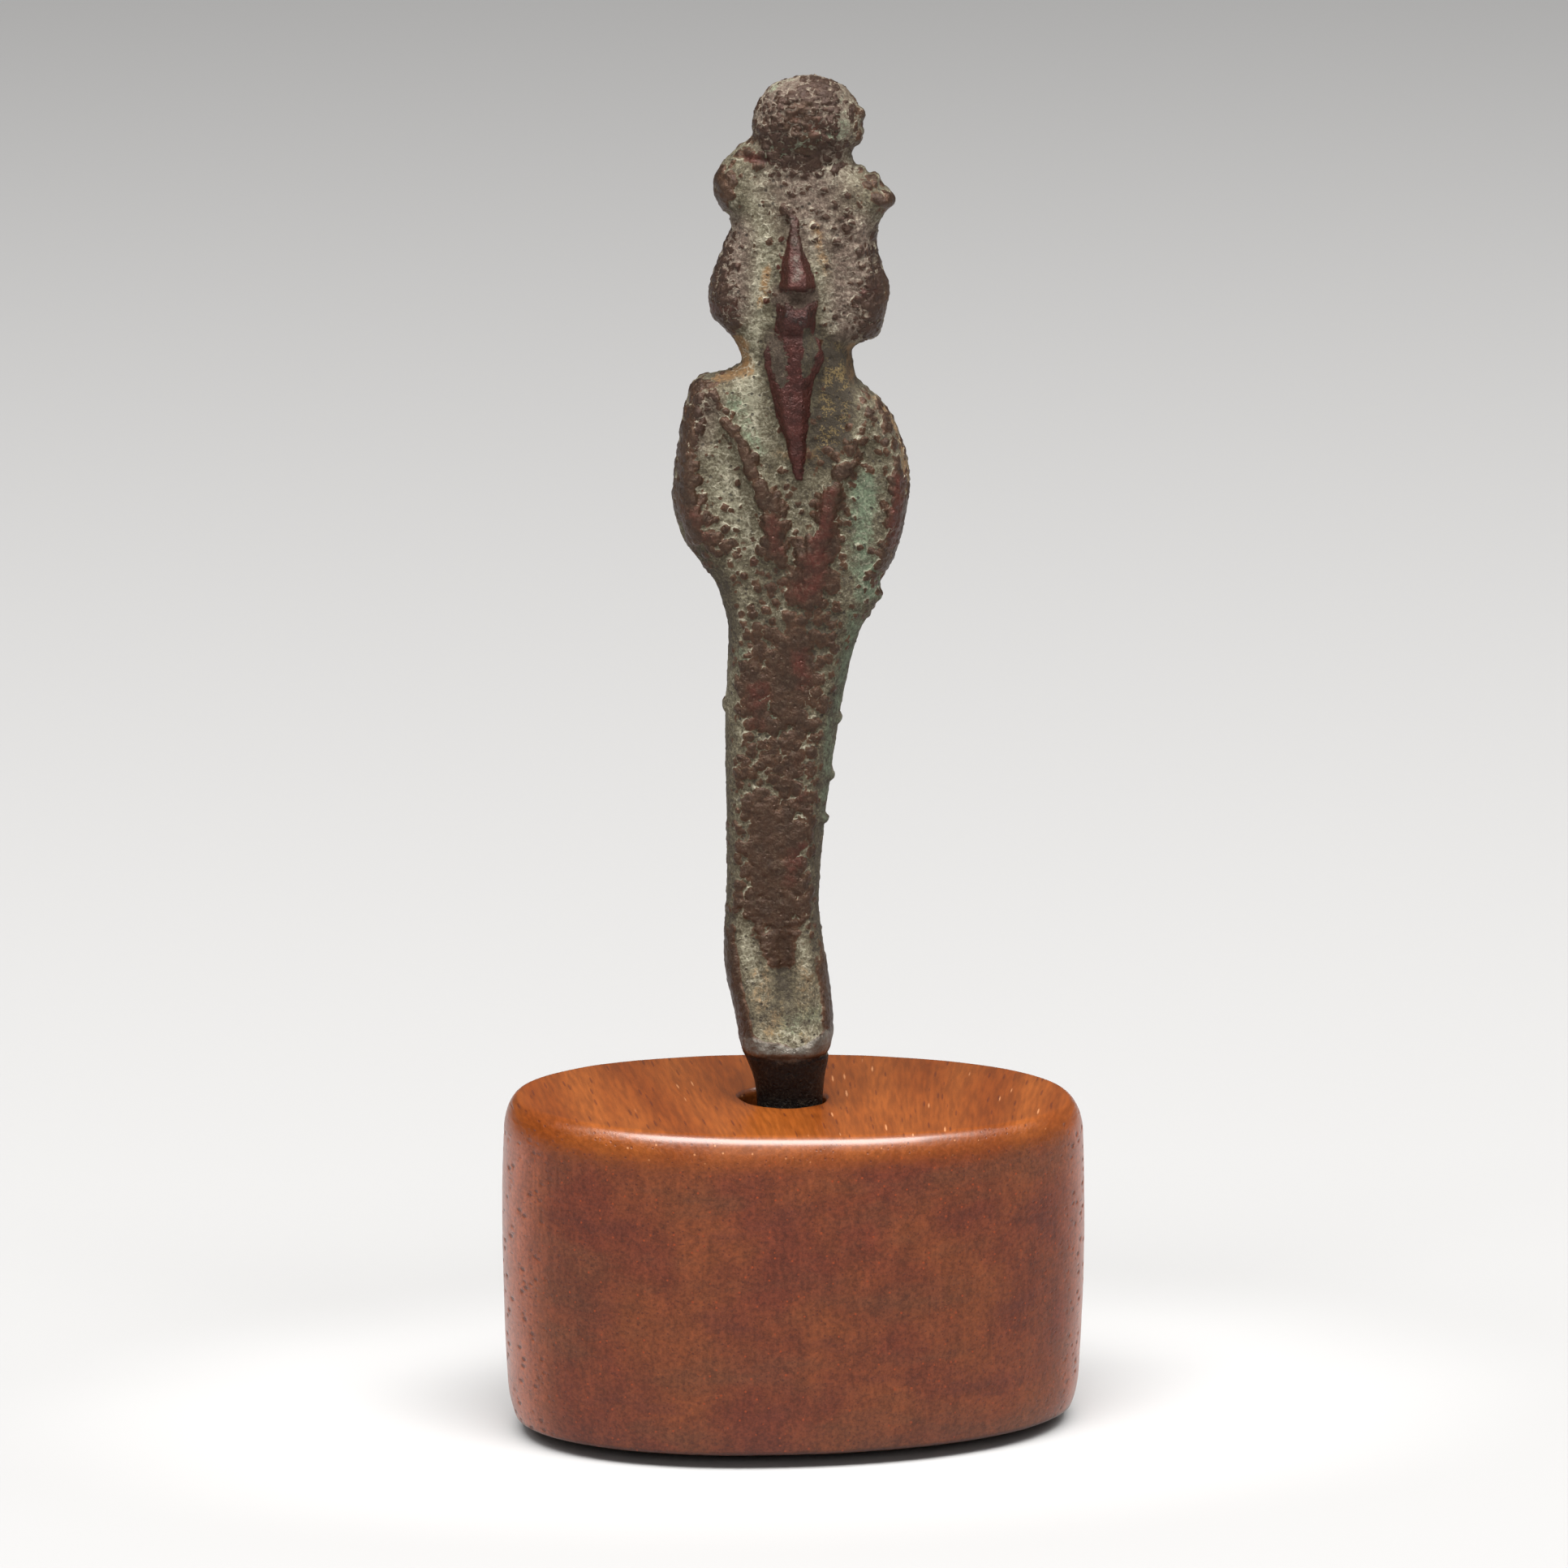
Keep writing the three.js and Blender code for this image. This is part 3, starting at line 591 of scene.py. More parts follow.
# Rings up the figure. Across the front their points gather at the outline and round the wedge.
ring_step = 0.3
side_points, wedge_points, back_points = 44, 26, 64
fine_mesh, quick_mesh = 0.14, 0.3  # mm between the points of the even mesh that is then corroded
most_triangles = 196000  # the finished piece is thinned to this
tang_heights = np.linspace(-drawn_tang, -0.5, 14)
figure_heights = np.arange(0, drawn_height - 0.4, ring_step)
crown_heights = drawn_height - np.array([0.3, 0.15, 0.05, 0.01])
heights = np.concatenate([tang_heights, figure_heights, crown_heights])
left, right = outline_at(heights)
inner = np.minimum(wedge_right(heights), right - 0.3 * (right - left))
outer = np.maximum(wedge_left(heights), left + 0.3 * (right - left))
t = np.arange(side_points) / side_points
ease = 0.5 * t + 0.5 * (1 - np.cos(math.pi * t / 2))
front_x = np.concatenate(
    [
        left[:, None] + (outer - left)[:, None] * ease,
        outer[:, None] + (inner - outer)[:, None] * (np.arange(wedge_points) / wedge_points),
        right[:, None] + (inner - right)[:, None] * ease[::-1],
    ],
    axis=1,
)
round_back = np.cos(math.pi * np.arange(back_points) / back_points)
back_x = (left + right)[:, None] / 2 + (right - left)[:, None] / 2 * round_back
across_x = np.concatenate([front_x, back_x], 1)
up = np.repeat(heights[:, None], across_x.shape[1], 1)
inside = to_outline(across_x.ravel(), up.ravel()).reshape(across_x.shape)
share = (across_x - left[:, None]) / (right - left)[:, None]
rounded = left_round(up) * (1 - share) + right_round(up) * share
rounding = np.sqrt(np.clip(1 - (1 - np.clip(inside / rounded, 0, 1)) ** 2, 0, None))
carving = np.where(up > 0, carving_at(across_x, up) * smooth(inside / carving_fade), 0)
depth = -front_depth(up) * rounding - carving
count = front_x.shape[1]
depth[:, count:] = (back_depth(up) * rounding)[:, count:]
depth[:, 0] = 0
depth[:, count] = 0
form = np.stack([across_x, depth, up], 2)
bronze_figure = new_object("corroded_bronze_osiris", ring_skin(list(form)))
voxels = bronze_figure.modifiers.new("even_mesh", "REMESH")
voxels.mode = "VOXEL"
voxels.voxel_size = fine_mesh
mesh = with_modifiers(bronze_figure)
place_mm = points_of(mesh)
x, y, height = place_mm.T
front = smooth((1.2 - y) / 2.4)


def painted(places):
    """How strong the strokes of one table are at each point of the figure."""
    return strokes_at(places, painted_wall, x, height)


# Where dark metal shows, and where crust covers it: above 0 is metal. The rows are as the carving's.
bare_places = {
    "ball": [[0.4, 84.8, 7, 1.9], [1.6, 87, 7, 1.9]],
    "under the ball": [[0.8, 82.4, 2, 0.8], [0.6, 79.5, 1.6, 0.4]],
    "slit under the ball, left": [[-4.1, 82.7, 0.7, 1.6], [-2.5, 82.5, 0.7, 1.6]],
    "slit under the ball, right": [[2.8, 82.2, 0.5, 1.4], [4.2, 82.1, 0.5, 1.4]],
    "knob above the face": [[-0.7, 78.4, 0.9, 2], [-0.5, 77.8, 0.9, 2]],
    "left plume": [[-6, 80.8, 1.8, 1.9], [-6.2, 78.6, 1.6, 1.9]],
    "right plume": [[6.4, 80.4, 1.6, 0.9], [7.8, 78.8, 1.4, 1.6]],
    "headdress left": [
        [-5.6, 76, 1.4, 0.8], [-6.4, 73, 2.4, 1.7], [-6.6, 69.6, 3, 2.2], [-5, 68, 1.8, 1.2],
    ],
    "headdress right": [[7, 76, 1.8, 1.2], [7.2, 71.6, 3, 1.9], [6.4, 68.4, 3.2, 1.9]],
    "right plate": [[4.6, 78, 2.4, 0.5], [5.4, 74, 2.6, 0.4]],
    "left arm": [
        [-8.2, 62.6, 2, 1.2], [-9.2, 58, 2, 1.5], [-9.2, 53, 2.4, 1.9], [-8.2, 50.4, 2.4, 1.8],
        [-6.2, 49, 1.8, 1],
    ],
    "crook": [
        [-6.9, 62.6, 1, 1.2], [-4.6, 58.2, 1, 1.9], [-3, 55, 1.1, 1.8], [-1.9, 52.4, 1.9, 1.8],
        [-1.4, 49, 2, 1.4],
    ],
    "flail": [
        [6.4, 60.5, 2.6, 0.75], [5.2, 58, 2.8, 0.75], [3.6, 54.8, 1.6, 1.4], [2.8, 52, 2, 1.9],
        [2, 49, 3.2, 2], [1.2, 45.5, 3.8, 1.8],
    ],
    "right arm": [
        [7.6, 60, 1.8, 0.7], [8.8, 57, 1.6, 0.7], [9.2, 53.5, 1.5, 1.6], [8.8, 50, 1.6, 1.7],
        [7.2, 46.6, 1.5, 1],
    ],
    "body": [
        [-0.8, 49, 5, 0.4], [-0.4, 44.5, 6, 0.4], [-0.4, 41.5, 6.4, 0.8], [-0.6, 38.5, 6.6, 1.8],
        [-1, 35.5, 6.4, 1.9], [-1.2, 32.5, 6.2, 1.1], [-1.2, 28, 6, 1.2], [-1.4, 24, 6, 1.9],
        [-1.6, 18, 5.6, 2], [-1.6, 15, 4.4, 1.3],
    ],
    "left side of the foot": [[-5.8, 15, 1.2, 1.4], [-4.8, 8, 1.3, 1.8], [-4.2, 4, 1.4, 1.5]],
    "right side of the foot": [[2.8, 12, 1, 1], [3.4, 7, 1, 1.2]],
    "toes": [[-4, 5.2, 1.5, 2.8], [0, 4.2, 1.7, 2.8], [3, 5.4, 1.5, 2.8]],
}
crusted_places = {
    "left elbow": [[-6, 57.4, 2, 0.2], [-5.4, 54.2, 2.6, 0.25], [-4.4, 50.5, 1.8, 0.1]],
    "collar": [[-3.8, 67, 2, 1.2], [-3.8, 64.5, 2.2, 1.6], [-3.4, 60.5, 2.2, 1.4], [-1.8, 57, 1.3, 1]],
    "beside the beard": [[4, 67, 1.8, 0.8], [3.8, 63, 2.2, 1.4], [3, 59, 1.6, 0.9]],
    "right elbow": [[6.2, 54.6, 1.7, 0.4], [5.8, 51.4, 2, 0.5], [5.6, 47.4, 1.8, 0.4]],
    "middle of the chest": [[1, 54, 1.8, 0.3], [0.6, 50, 1.2, 0.2]],
    "on the ball": [[4, 88, 1, 1.1], [4.4, 84.6, 1.1, 1.5]],
    "on top of the ball": [[-2, 88.4, 1.3, 1.1], [-0.4, 89.4, 1.2, 1.1]],
    "left crown": [[-3.4, 80.4, 2.2, 0.1], [-3, 76, 2.4, 0.1], [-3.4, 71, 2, 0.25]],
    "left edge of the legs": [[-6.2, 45, 1.6, 0.9], [-6, 33, 1.2, 0.8], [-5.9, 18, 1.1, 1]],
    "right edge of the legs": [
        [5.6, 41, 1.9, 1], [3.8, 33, 1.7, 1.3], [2.6, 22, 1.3, 1.2], [2.6, 15, 1.2, 0.8],
    ],
    "left foot": [
        [-4.2, 15.6, 1.4, 1.2], [-3.6, 12.6, 1.7, 1.5], [-2.6, 8, 1.9, 1.4], [-2.4, 7, 1.8, 1.6],
    ],
    "right foot": [
        [0.8, 14.8, 0.9, 0.8], [0.9, 11.6, 1.3, 1.1], [1, 8, 1.8, 1.2], [0.6, 6.8, 2.4, 1.6],
    ],
    "ankles": [[-2, 11, 2.4, 0.4], [-0.6, 8, 3, 0.6]],
}
crusted_on_wedge = {
    "under the nose": [[-1.9, 70.9, 1, 1], [2.4, 70.9, 1, 1]],
    "on the beard, left": [[-1.6, 67.2, 1, 0.85], [-1.5, 65.6, 1.4, 1], [-1, 63.8, 1.1, 0.85]],
    "on the beard, right": [[1.2, 68, 0.9, 0.85], [1.5, 66.4, 1.3, 1], [1.1, 64.4, 1, 0.85]],
}
headdress_crust = 0.18  # how much more crust the headdress has
wedge_metal, wedge_crust = 1.3, 2.0  # the wedge is polished metal, but for a few patches
on_wedge = smooth(wedge_at(x, height) / 0.3) * front
bare = painted(bare_places) - painted(crusted_places)
bare -= headdress_crust * smooth((height - 67) / 2) * smooth((82 - height) / 2)
bare += (wedge_metal - wedge_crust * painted(crusted_on_wedge) - bare) * on_wedge
behind = {"spine": [[0.5, 80, 4, 0.5], [0, 60, 6, 0.9], [-0.6, 40, 3.6, 1], [-1.6, 20, 3, 1.1]]}
behind = painted(behind) - 0.1
bare = np.where(height < 3.6, 1.8, bare * front + behind * (1 - front))
knobs = (1 - 0.6 * on_wedge) * (1 - 0.8 * smooth((16 - height) / 3))

# What colours the metal and the crust have, place by place, with some painted shade and painted sheen among
# them.
red_places = {
    "flail": [[3.2, 54.6, 1.2, 0.6], [2.6, 51.5, 1.8, 0.8], [2.2, 48.5, 2.8, 0.8], [1.2, 45.5, 3, 0.7]],
    "crook": [[-1.8, 51.5, 1.8, 0.6], [-1.4, 49, 1.6, 0.6]],
    "left arm": [[-8.4, 52, 2.2, 0.5], [-7.4, 50, 1.6, 0.45]],
    "right arm": [[9, 55, 1.2, 0.8], [8.4, 49.5, 1.4, 0.8]],
    "chest": [[-3.8, 48, 1.6, 0.5], [-1, 45, 2, 0.4]],
    "upper thigh": [[0.6, 39.4, 2, 0.8], [0.8, 37, 1.6, 0.6]],
    "left thigh": [[-3, 36.4, 2, 0.8], [-3.2, 33, 1.6, 0.4]],
    "shin": [[0.8, 30, 1.6, 0.5], [0.6, 27, 1.4, 0.5]],
    "lower shin": [[0.6, 22.4, 1.9, 0.8], [-0.2, 20, 1.6, 0.5]],
    "beard": [[0.2, 67, 1.4, 1], [0.2, 63, 1.2, 0.9], [0.4, 60, 1.6, 0.7], [0.5, 56, 1.2, 0.6]],
    "beside the nose": [[-1.6, 72.5, 0.5, 1.2], [-0.9, 76.4, 0.5, 1]],
    "beside the nose, right": [[2.1, 72.5, 0.5, 1], [1, 75.6, 0.4, 0.8]],
    "chin": [[-1.9, 68.8, 0.9, 0.9], [2, 69.2, 0.9, 1]],
    "slit under the ball": [[-4, 82.7, 0.8, 0.9], [-2.4, 82.5, 0.8, 0.9]],
    "headdress": [[-6.8, 69.6, 1, 0.7], [7, 71.4, 1, 0.6]],
    "ball": [[-0.8, 86.6, 2, 0.3], [1.8, 85.4, 2.4, 0.4]],
}
pale_places = {
    "left elbow": [[-6.2, 57, 2, 0.7], [-5.6, 53.5, 2.4, 1], [-3.6, 49.5, 2, 0.7]],
    "collar": [[-4, 65, 1.8, 1.2], [-3.8, 61, 2, 1.4], [-2.6, 58, 1.6, 0.6]],
    "left crown": [
        [-2.8, 80.6, 1.8, 0.7], [-2.6, 76, 1.8, 0.7], [-2.8, 72, 1.4, 0.8], [-3.4, 67, 1.6, 0.9],
    ],
    "right crown": [[3.4, 81.6, 1.6, 1], [5, 81, 1.2, 0.7]],
    "right of the face": [[1.4, 77.4, 0.9, 0.7], [2.6, 72, 1.1, 0.7], [3.4, 68, 1.1, 0.6]],
    "right elbow": [[6.4, 54, 1.8, 0.3], [5.8, 50, 1.8, 0.2], [6.6, 46, 2, 0.5]],
    "middle": [[0.6, 52, 1.8, 0.4], [0, 46, 2.4, 0.5], [-1, 43.4, 2, 0.5]],
    "left foot": [[-4.2, 14.6, 0.9, 0.9], [-3.4, 12, 1.2, 0.9], [-2.8, 9.6, 0.8, 0.4]],
    "right foot": [[0.6, 14, 0.7, 0.8], [0.9, 11.6, 0.9, 0.7]],
    "toes": [[-2.8, 6.2, 1.2, 0.6], [1.6, 6.2, 1.8, 0.9]],
    "ball": [[4, 88, 1.2, 0.1], [4.2, 84.6, 1.2, 0.2]],
    "top of the ball": [[-2, 88.4, 1.3, 0.2], [-0.4, 89.4, 1.2, 0.2]],
}
dark_places = {
    "beside the beard": [
        [3.6, 66.4, 1.8, 1.6], [3.6, 63, 2.4, 2.8], [3.2, 59.5, 2.4, 2.8], [2, 56.5, 1.8, 1],
    ],
    "left waist": [[-8.4, 48.6, 1.6, 0.6], [-6.2, 45, 1.6, 0.8], [-5.6, 40, 1.4, 0.6]],
    "waist": [[0, 48, 5, 0.4], [1, 43, 6, 0.7]],
    "left edge of the legs": [[-5.9, 33, 1.1, 0.4], [-5.8, 20, 1.1, 0.5], [-5.8, 12, 1.1, 0.6]],
    "right edge of the legs": [
        [5.2, 41, 1.6, 0.5], [3, 33, 1.4, 0.6], [2.2, 22, 1.4, 0.7], [2.4, 14, 1.4, 0.8],
    ],
    "on the beard": [[-1.6, 67, 1.8, 0.9], [-1.4, 64, 1.8, 0.9]],
    "on the beard, right": [[1.6, 67.6, 2, 1], [1.4, 64.4, 1.8, 1]],
    "under the nose": [[-1, 70.9, 1.6, 1], [1.2, 70.9, 1.6, 1]],
    "ankles": [[-0.8, 15.4, 1.6, 1.1], [-0.8, 11, 1.4, 0.9], [-0.6, 8, 1.6, 0.4]],
    # Painted shade: the left side of the feet, a side face turned away from the light.
    "left side of the feet": [[-4.6, 10, 1, 0.9], [-4, 7.4, 1.2, 0.9]],
}
green_places = {
    "right elbow": [[6.2, 54.5, 2.4, 0.9], [5.6, 50, 2.4, 0.7], [6.6, 45.4, 2.4, 1]],
    "collar": [[-5, 61.8, 1.8, 0.6], [-3, 57.5, 1.4, 0.5]],
    "right side": [[5.4, 43, 1.8, 0.7], [3.4, 34, 1.2, 0.6], [2.6, 24, 1, 0.5]],
    "feet": [[1.4, 8, 2.4, 0.55], [-1, 6.8, 2.4, 0.4]],
    "under the ball": [[-2.8, 83, 1.4, 0.6], [4, 84.8, 1.8, 0.5]],
    "on the ball": [[4, 88, 1.2, 0.4], [4.2, 84.6, 1.2, 0.5]],
    "top of the ball": [[-2, 88.4, 1.3, 0.4], [-0.4, 89.4, 1.2, 0.3]],
    "left leg": [[-4.4, 39.5, 1.6, 0.6], [-0.6, 31.5, 1.4, 0.7]],
}
dirt_places = {
    "neck left": [[-4.8, 66.6, 1.4, 1], [-4.2, 64.6, 1.4, 1], [-6.5, 63.6, 1, 0.8]],
    "neck right": [[5, 66, 1, 0.7], [5, 63.8, 1.2, 0.7]],
    "right shoulder": [[7, 62, 0.8, 0.7], [9.4, 58.5, 0.7, 0.8], [9.8, 54, 0.6, 0.7]],
    "right of the face": [[1.8, 77, 0.8, 0.6], [2.8, 73, 0.8, 0.6]],
    "left of the face": [[-2.2, 73.2, 0.7, 0.7], [-2.8, 70.2, 0.8, 0.6]],
    "feet": [[-2.8, 11, 2.2, 0.4], [-1.6, 6.8, 2.4, 0.4]],
    "right foot": [[1, 12, 2, 0.35], [1.2, 6.8, 2.4, 0.35]],
    "under the beard": [[-1.4, 57.4, 1.2, 0.3], [2, 57, 1.4, 0.35]],
}
brown_places = {
    "ball": [[0.6, 86, 7, 1.7], [1, 84, 6, 1.6]],
    "crown": [[1, 81, 7, 1], [2, 77, 5.6, 0.9]],
    "headdress": [[-5, 76, 3, 1], [-5.4, 70, 3.2, 1]],
    "headdress, right": [[5, 76, 4, 1.2], [5.2, 69, 4, 1.2]],
    "left shoulder": [[-7.4, 61.5, 2.6, 0.7], [-8, 58, 2, 0.5]],
    "under the nose": [[-1, 70.9, 1.8, 1], [1.2, 70.9, 1.8, 1]],
    "on the beard": [[-1.5, 67, 1.8, 0.6], [-1.3, 64, 1.6, 0.6]],
}
# Painted sheen, with some wear: a pale grey on the rounded lower edge of the toes, on the upper face and on
# the mouth, for the gloss that shows there.
wear_and_sheen_places = {
    "toes": [[-3.6, 5.2, 1.5, 1.6], [0, 4.4, 1.6, 1.8], [2.8, 5.6, 1.5, 1.6]],
    "face": [[-0.1, 78, 0.6, 0.4], [0.1, 75.6, 0.7, 0.5], [0.3, 72.8, 1, 0.5]],
    "mouth": [[-0.2, 69.2, 0.9, 0.1], [0.8, 69, 0.9, 0.1]],
}
# Single lumps and dents that show in the outline or from a step away: [x, height, half width, mm]
lumps = {
    "on the right plume": [[7.7, 79.1, 0.9, 0.5], [7.9, 78.8, 0.9, 0.5]],
    "on top of the right plume": [[5.6, 81.5, 0.45, 0.3], [5.9, 81.3, 0.45, 0.3]],
    "beside it": [[6.8, 80.8, 0.45, 0.3], [7, 80.6, 0.45, 0.3]],
    "on the ball": [[5.7, 86.3, 0.6, 0.35], [5.8, 86, 0.6, 0.35]],
    "on the ball, low": [[5.6, 84.6, 0.5, 0.25], [5.4, 84.2, 0.5, 0.25]],
    "under the left plume": [[-6.1, 77.6, 0.7, 0.35], [-5.6, 77, 0.7, 0.35]],
    "knob above the face": [[-0.7, 78.3, 0.7, 0.3], [-0.6, 78, 0.7, 0.3]],
    "rim of the headdress": [[7.2, 76, 0.5, 0.2], [7.9, 72.6, 0.5, 0.28], [8, 70.2, 0.5, 0.2]],
    "left knee": [[-6.2, 34.9, 0.7, 0.4], [-6.2, 34.6, 0.7, 0.4]],
    "right knee": [[4.1, 33.6, 0.6, 0.4], [4.1, 33.4, 0.6, 0.4]],
    "right shin": [[3.3, 28.6, 0.55, 0.4], [3.3, 28.4, 0.55, 0.4]],
    "right shin, lower": [[2.7, 24.8, 0.5, 0.35], [2.7, 24.6, 0.5, 0.35]],
    "right waist": [[7.3, 44.6, 0.6, 0.3], [7.3, 44.3, 0.6, 0.3]],
    "left foot": [[-2.7, 13.4, 1, 0.3], [-2.5, 12, 0.8, 0.3]],
    "right foot": [[1.2, 13, 0.9, 0.3], [1.2, 11.6, 0.8, 0.3]],
}
dents = {
    "top of the ball": [[-0.6, 89.8, 2, 0.3], [3.2, 89.8, 2, 0.3]],
    "slit, left": [[-4.2, 82.7, 0.5, 0.4], [-2.4, 82.5, 0.5, 0.4]],
    "slit, right": [[2.6, 82.2, 0.45, 0.3], [4.2, 82.1, 0.45, 0.3]],
    "groove in the headdress": [[6.6, 76, 0.4, 0.2], [7.1, 72.6, 0.45, 0.25], [7.2, 70.4, 0.4, 0.15]],
    "pit under the nose": [[0.2, 70.9, 0.4, 0.25], [0.3, 70.8, 0.4, 0.25]],
    "between the feet": [[-0.8, 14.6, 0.9, 0.3], [-0.6, 9.4, 0.9, 0.35]],
}
red_behind = 0.15  # how red the metal of the back is
black_places = {"under the nose": [[-1, 69.3, 2, 0.55], [1.2, 69.3, 2, 0.55]]}
metal_look = [
    painted(red_places) * front + red_behind * (1 - front),
    on_wedge,
    # Painted shade: near black on the tang under the toes' overhang, below about 4.6 mm. The mouth is made
    # darker too.
    np.maximum(smooth((4.6 - height) / 1.4), painted(black_places)),
]
paleness = painted(pale_places) - painted(dark_places)
crust_look = [paleness, painted(green_places), painted(dirt_places)]
single = painted(lumps) - painted(dents)
store(mesh, "place", place_mm)
store(mesh, "bare", bare)
store(mesh, "knobs", knobs)
store(mesh, "brown", painted(brown_places))
store(mesh, "wear_and_sheen", painted(wear_and_sheen_places) * front)
store(mesh, "single", single * smooth((4 - y) / 4))
store(mesh, "metal_look", np.stack(metal_look, 1))
store(mesh, "crust_look", np.stack(crust_look, 1) * front[:, None])

knob_spacing = 0.95  # mm between the places where a knob of metal may stand
vein_spacing = 0.9  # mm between the veins of crust
metal_rise = 0.22  # mm, how far the metal stands out of the crust
rim_rise = 0.1  # mm, how far the rims of crust beside it stand up
crust_grain = 0.16  # mm, from the highest grain of crust to the lowest
sunk = 0.12  # mm, how far the crust lies under the drawn form
hole_spacing, hole_width, hole_share = 0.6, 0.34, 0.3  # mm, the dark pinholes of the crust


def corrosion(tree, place, bare, knobs, calm):
    """How far metal wins over crust at a point, and just below and to the right of it."""
    wobble = node(tree, "ShaderNodeTexNoise", {"Vector": place, "Scale": 1.8, "Detail": 1.0})
    wobble = wobble.node.outputs["Color"]
    wobble = node(tree, "ShaderNodeVectorMath", {0: wobble, 1: (0.5, 0.5, 0.5)}, operation="SUBTRACT")
    amounts = {0: wobble, 1: (0.6, 0.6, 0.6), 2: place}
    warped = node(tree, "ShaderNodeVectorMath", amounts, operation="MULTIPLY_ADD")
    broad = node(tree, "ShaderNodeTexNoise", {"Vector": place, "Scale": 0.45, "Detail": 2.0})
    broad = node(tree, "ShaderNodeMath", {0: broad, 1: 0.5}, operation="SUBTRACT")
    middle = node(tree, "ShaderNodeTexNoise", {"Vector": place, "Scale": 1.9, "Detail": 1.5})
    middle = node(tree, "ShaderNodeMath", {0: middle, 1: 0.5}, operation="SUBTRACT")
    level = node(tree, "ShaderNodeMath", {0: middle, 1: 0.7}, operation="MULTIPLY")
    level = node(tree, "ShaderNodeMath", {0: broad, 1: 1.3, 2: level}, operation="MULTIPLY_ADD")
    wander = node(tree, "ShaderNodeMapRange", {"Value": calm, "To Min": 1.0, "To Max": 0.4})
    level = node(tree, "ShaderNodeMath", {0: level, 1: wander, 2: bare}, operation="MULTIPLY_ADD")
    longer = node(tree, "ShaderNodeVectorMath", {0: warped, 1: (0.8, 0.8, 1.3)}, operation="MULTIPLY")
    vein = node(
        tree,
        "ShaderNodeTexVoronoi",
        {"Vector": longer, "Scale": 1 / vein_spacing},
        feature="DISTANCE_TO_EDGE",
    )
    vein = node(tree, "ShaderNodeMapRange", {"Value": vein, "From Min": 0.12, "From Max": 0.02})
    broken = node(tree, "ShaderNodeMapRange", {"Value": middle, "From Min": -0.12, "From Max": 0.08})
    vein = node(tree, "ShaderNodeMath", {0: vein, 1: broken}, operation="MULTIPLY")
    cut = node(tree, "ShaderNodeMath", {0: vein, 1: calm}, operation="MULTIPLY")
    level = node(tree, "ShaderNodeMath", {0: cut, 1: -2.1, 2: level}, operation="MULTIPLY_ADD")
    found = []
    for shift in ((0, 0, 0), (0.1, 0, -0.14)):
        moved = node(tree, "ShaderNodeVectorMath", {0: warped, 1: shift}, operation="ADD")
        cell = node(tree, "ShaderNodeTexVoronoi", {"Vector": moved, "Scale": 1 / knob_spacing}).node
        kind = node(tree, "ShaderNodeSeparateXYZ", {0: cell.outputs["Color"]})
        off = cell.outputs["Distance"]
        knob = node(tree, "ShaderNodeMath", {0: off, 1: -2.6, 2: 0.5}, operation="MULTIPLY_ADD")
        knob = node(tree, "ShaderNodeMath", {0: kind, 1: 0.7, 2: knob}, operation="MULTIPLY_ADD")
        found.append(node(tree, "ShaderNodeMath", {0: knob, 1: knobs, 2: level}, operation="MULTIPLY_ADD"))
    return {"metal": found[0], "beside": found[1], "middle": middle, "broad": broad, "vein": vein}


# Corroded bronze: dark brown metal with a dull sheen, dry pale crust with none.
corroded, tree = new_material("corroded_cast_bronze")
place, metal_here, crust_here = [
    node(tree, "ShaderNodeAttribute", {}, attribute_name=name).node.outputs["Vector"]
    for name in ("place", "metal_look", "crust_look")
]
bare_here, knobs_here, brown, wear_and_sheen = [
    node(tree, "ShaderNodeAttribute", {}, attribute_name=name).node.outputs["Fac"]
    for name in ("bare", "knobs", "brown", "wear_and_sheen")
]
red, polished, painted_shade_and_dark_mouth = node(tree, "ShaderNodeSeparateXYZ", {0: metal_here}).node.outputs
pale, green, dirt = node(tree, "ShaderNodeSeparateXYZ", {0: crust_here}).node.outputs
eaten = corrosion(tree, place, bare_here, knobs_here, brown)
cloud = node(tree, "ShaderNodeTexNoise", {"Vector": place, "Scale": 0.8, "Detail": 4.0, "Roughness": 0.65})
grain = node(tree, "ShaderNodeTexNoise", {"Vector": place, "Scale": 4.0, "Detail": 4.0, "Roughness": 0.7})
glint = node(tree, "ShaderNodeTexNoise", {"Vector": place, "Scale": 6.0, "Detail": 2.0, "Roughness": 0.6})
spread = node(tree, "ShaderNodeMapRange", {"Value": cloud, "From Min": 0.36, "From Max": 0.64})
coarse = node(tree, "ShaderNodeMapRange", {"Value": grain, "From Min": 0.34, "From Max": 0.66})


def stain(colour, tone, amount, most=1.0, how="MIX"):
    """Lays one colour over another where it is strong enough, with a ragged edge."""
    ragged = node(tree, "ShaderNodeMath", {0: coarse, 1: 0.3, 2: amount}, operation="MULTIPLY_ADD")
    ragged = node(tree, "ShaderNodeMath", {0: spread, 1: 0.45, 2: ragged}, operation="MULTIPLY_ADD")
    here = node(
        tree,
        "ShaderNodeMapRange",
        {"Value": ragged, "From Min": 0.6, "From Max": 1.3, "To Max": most},
        interpolation_type="SMOOTHSTEP",
    )
    return tinted(colour, linear(tone), here, how)


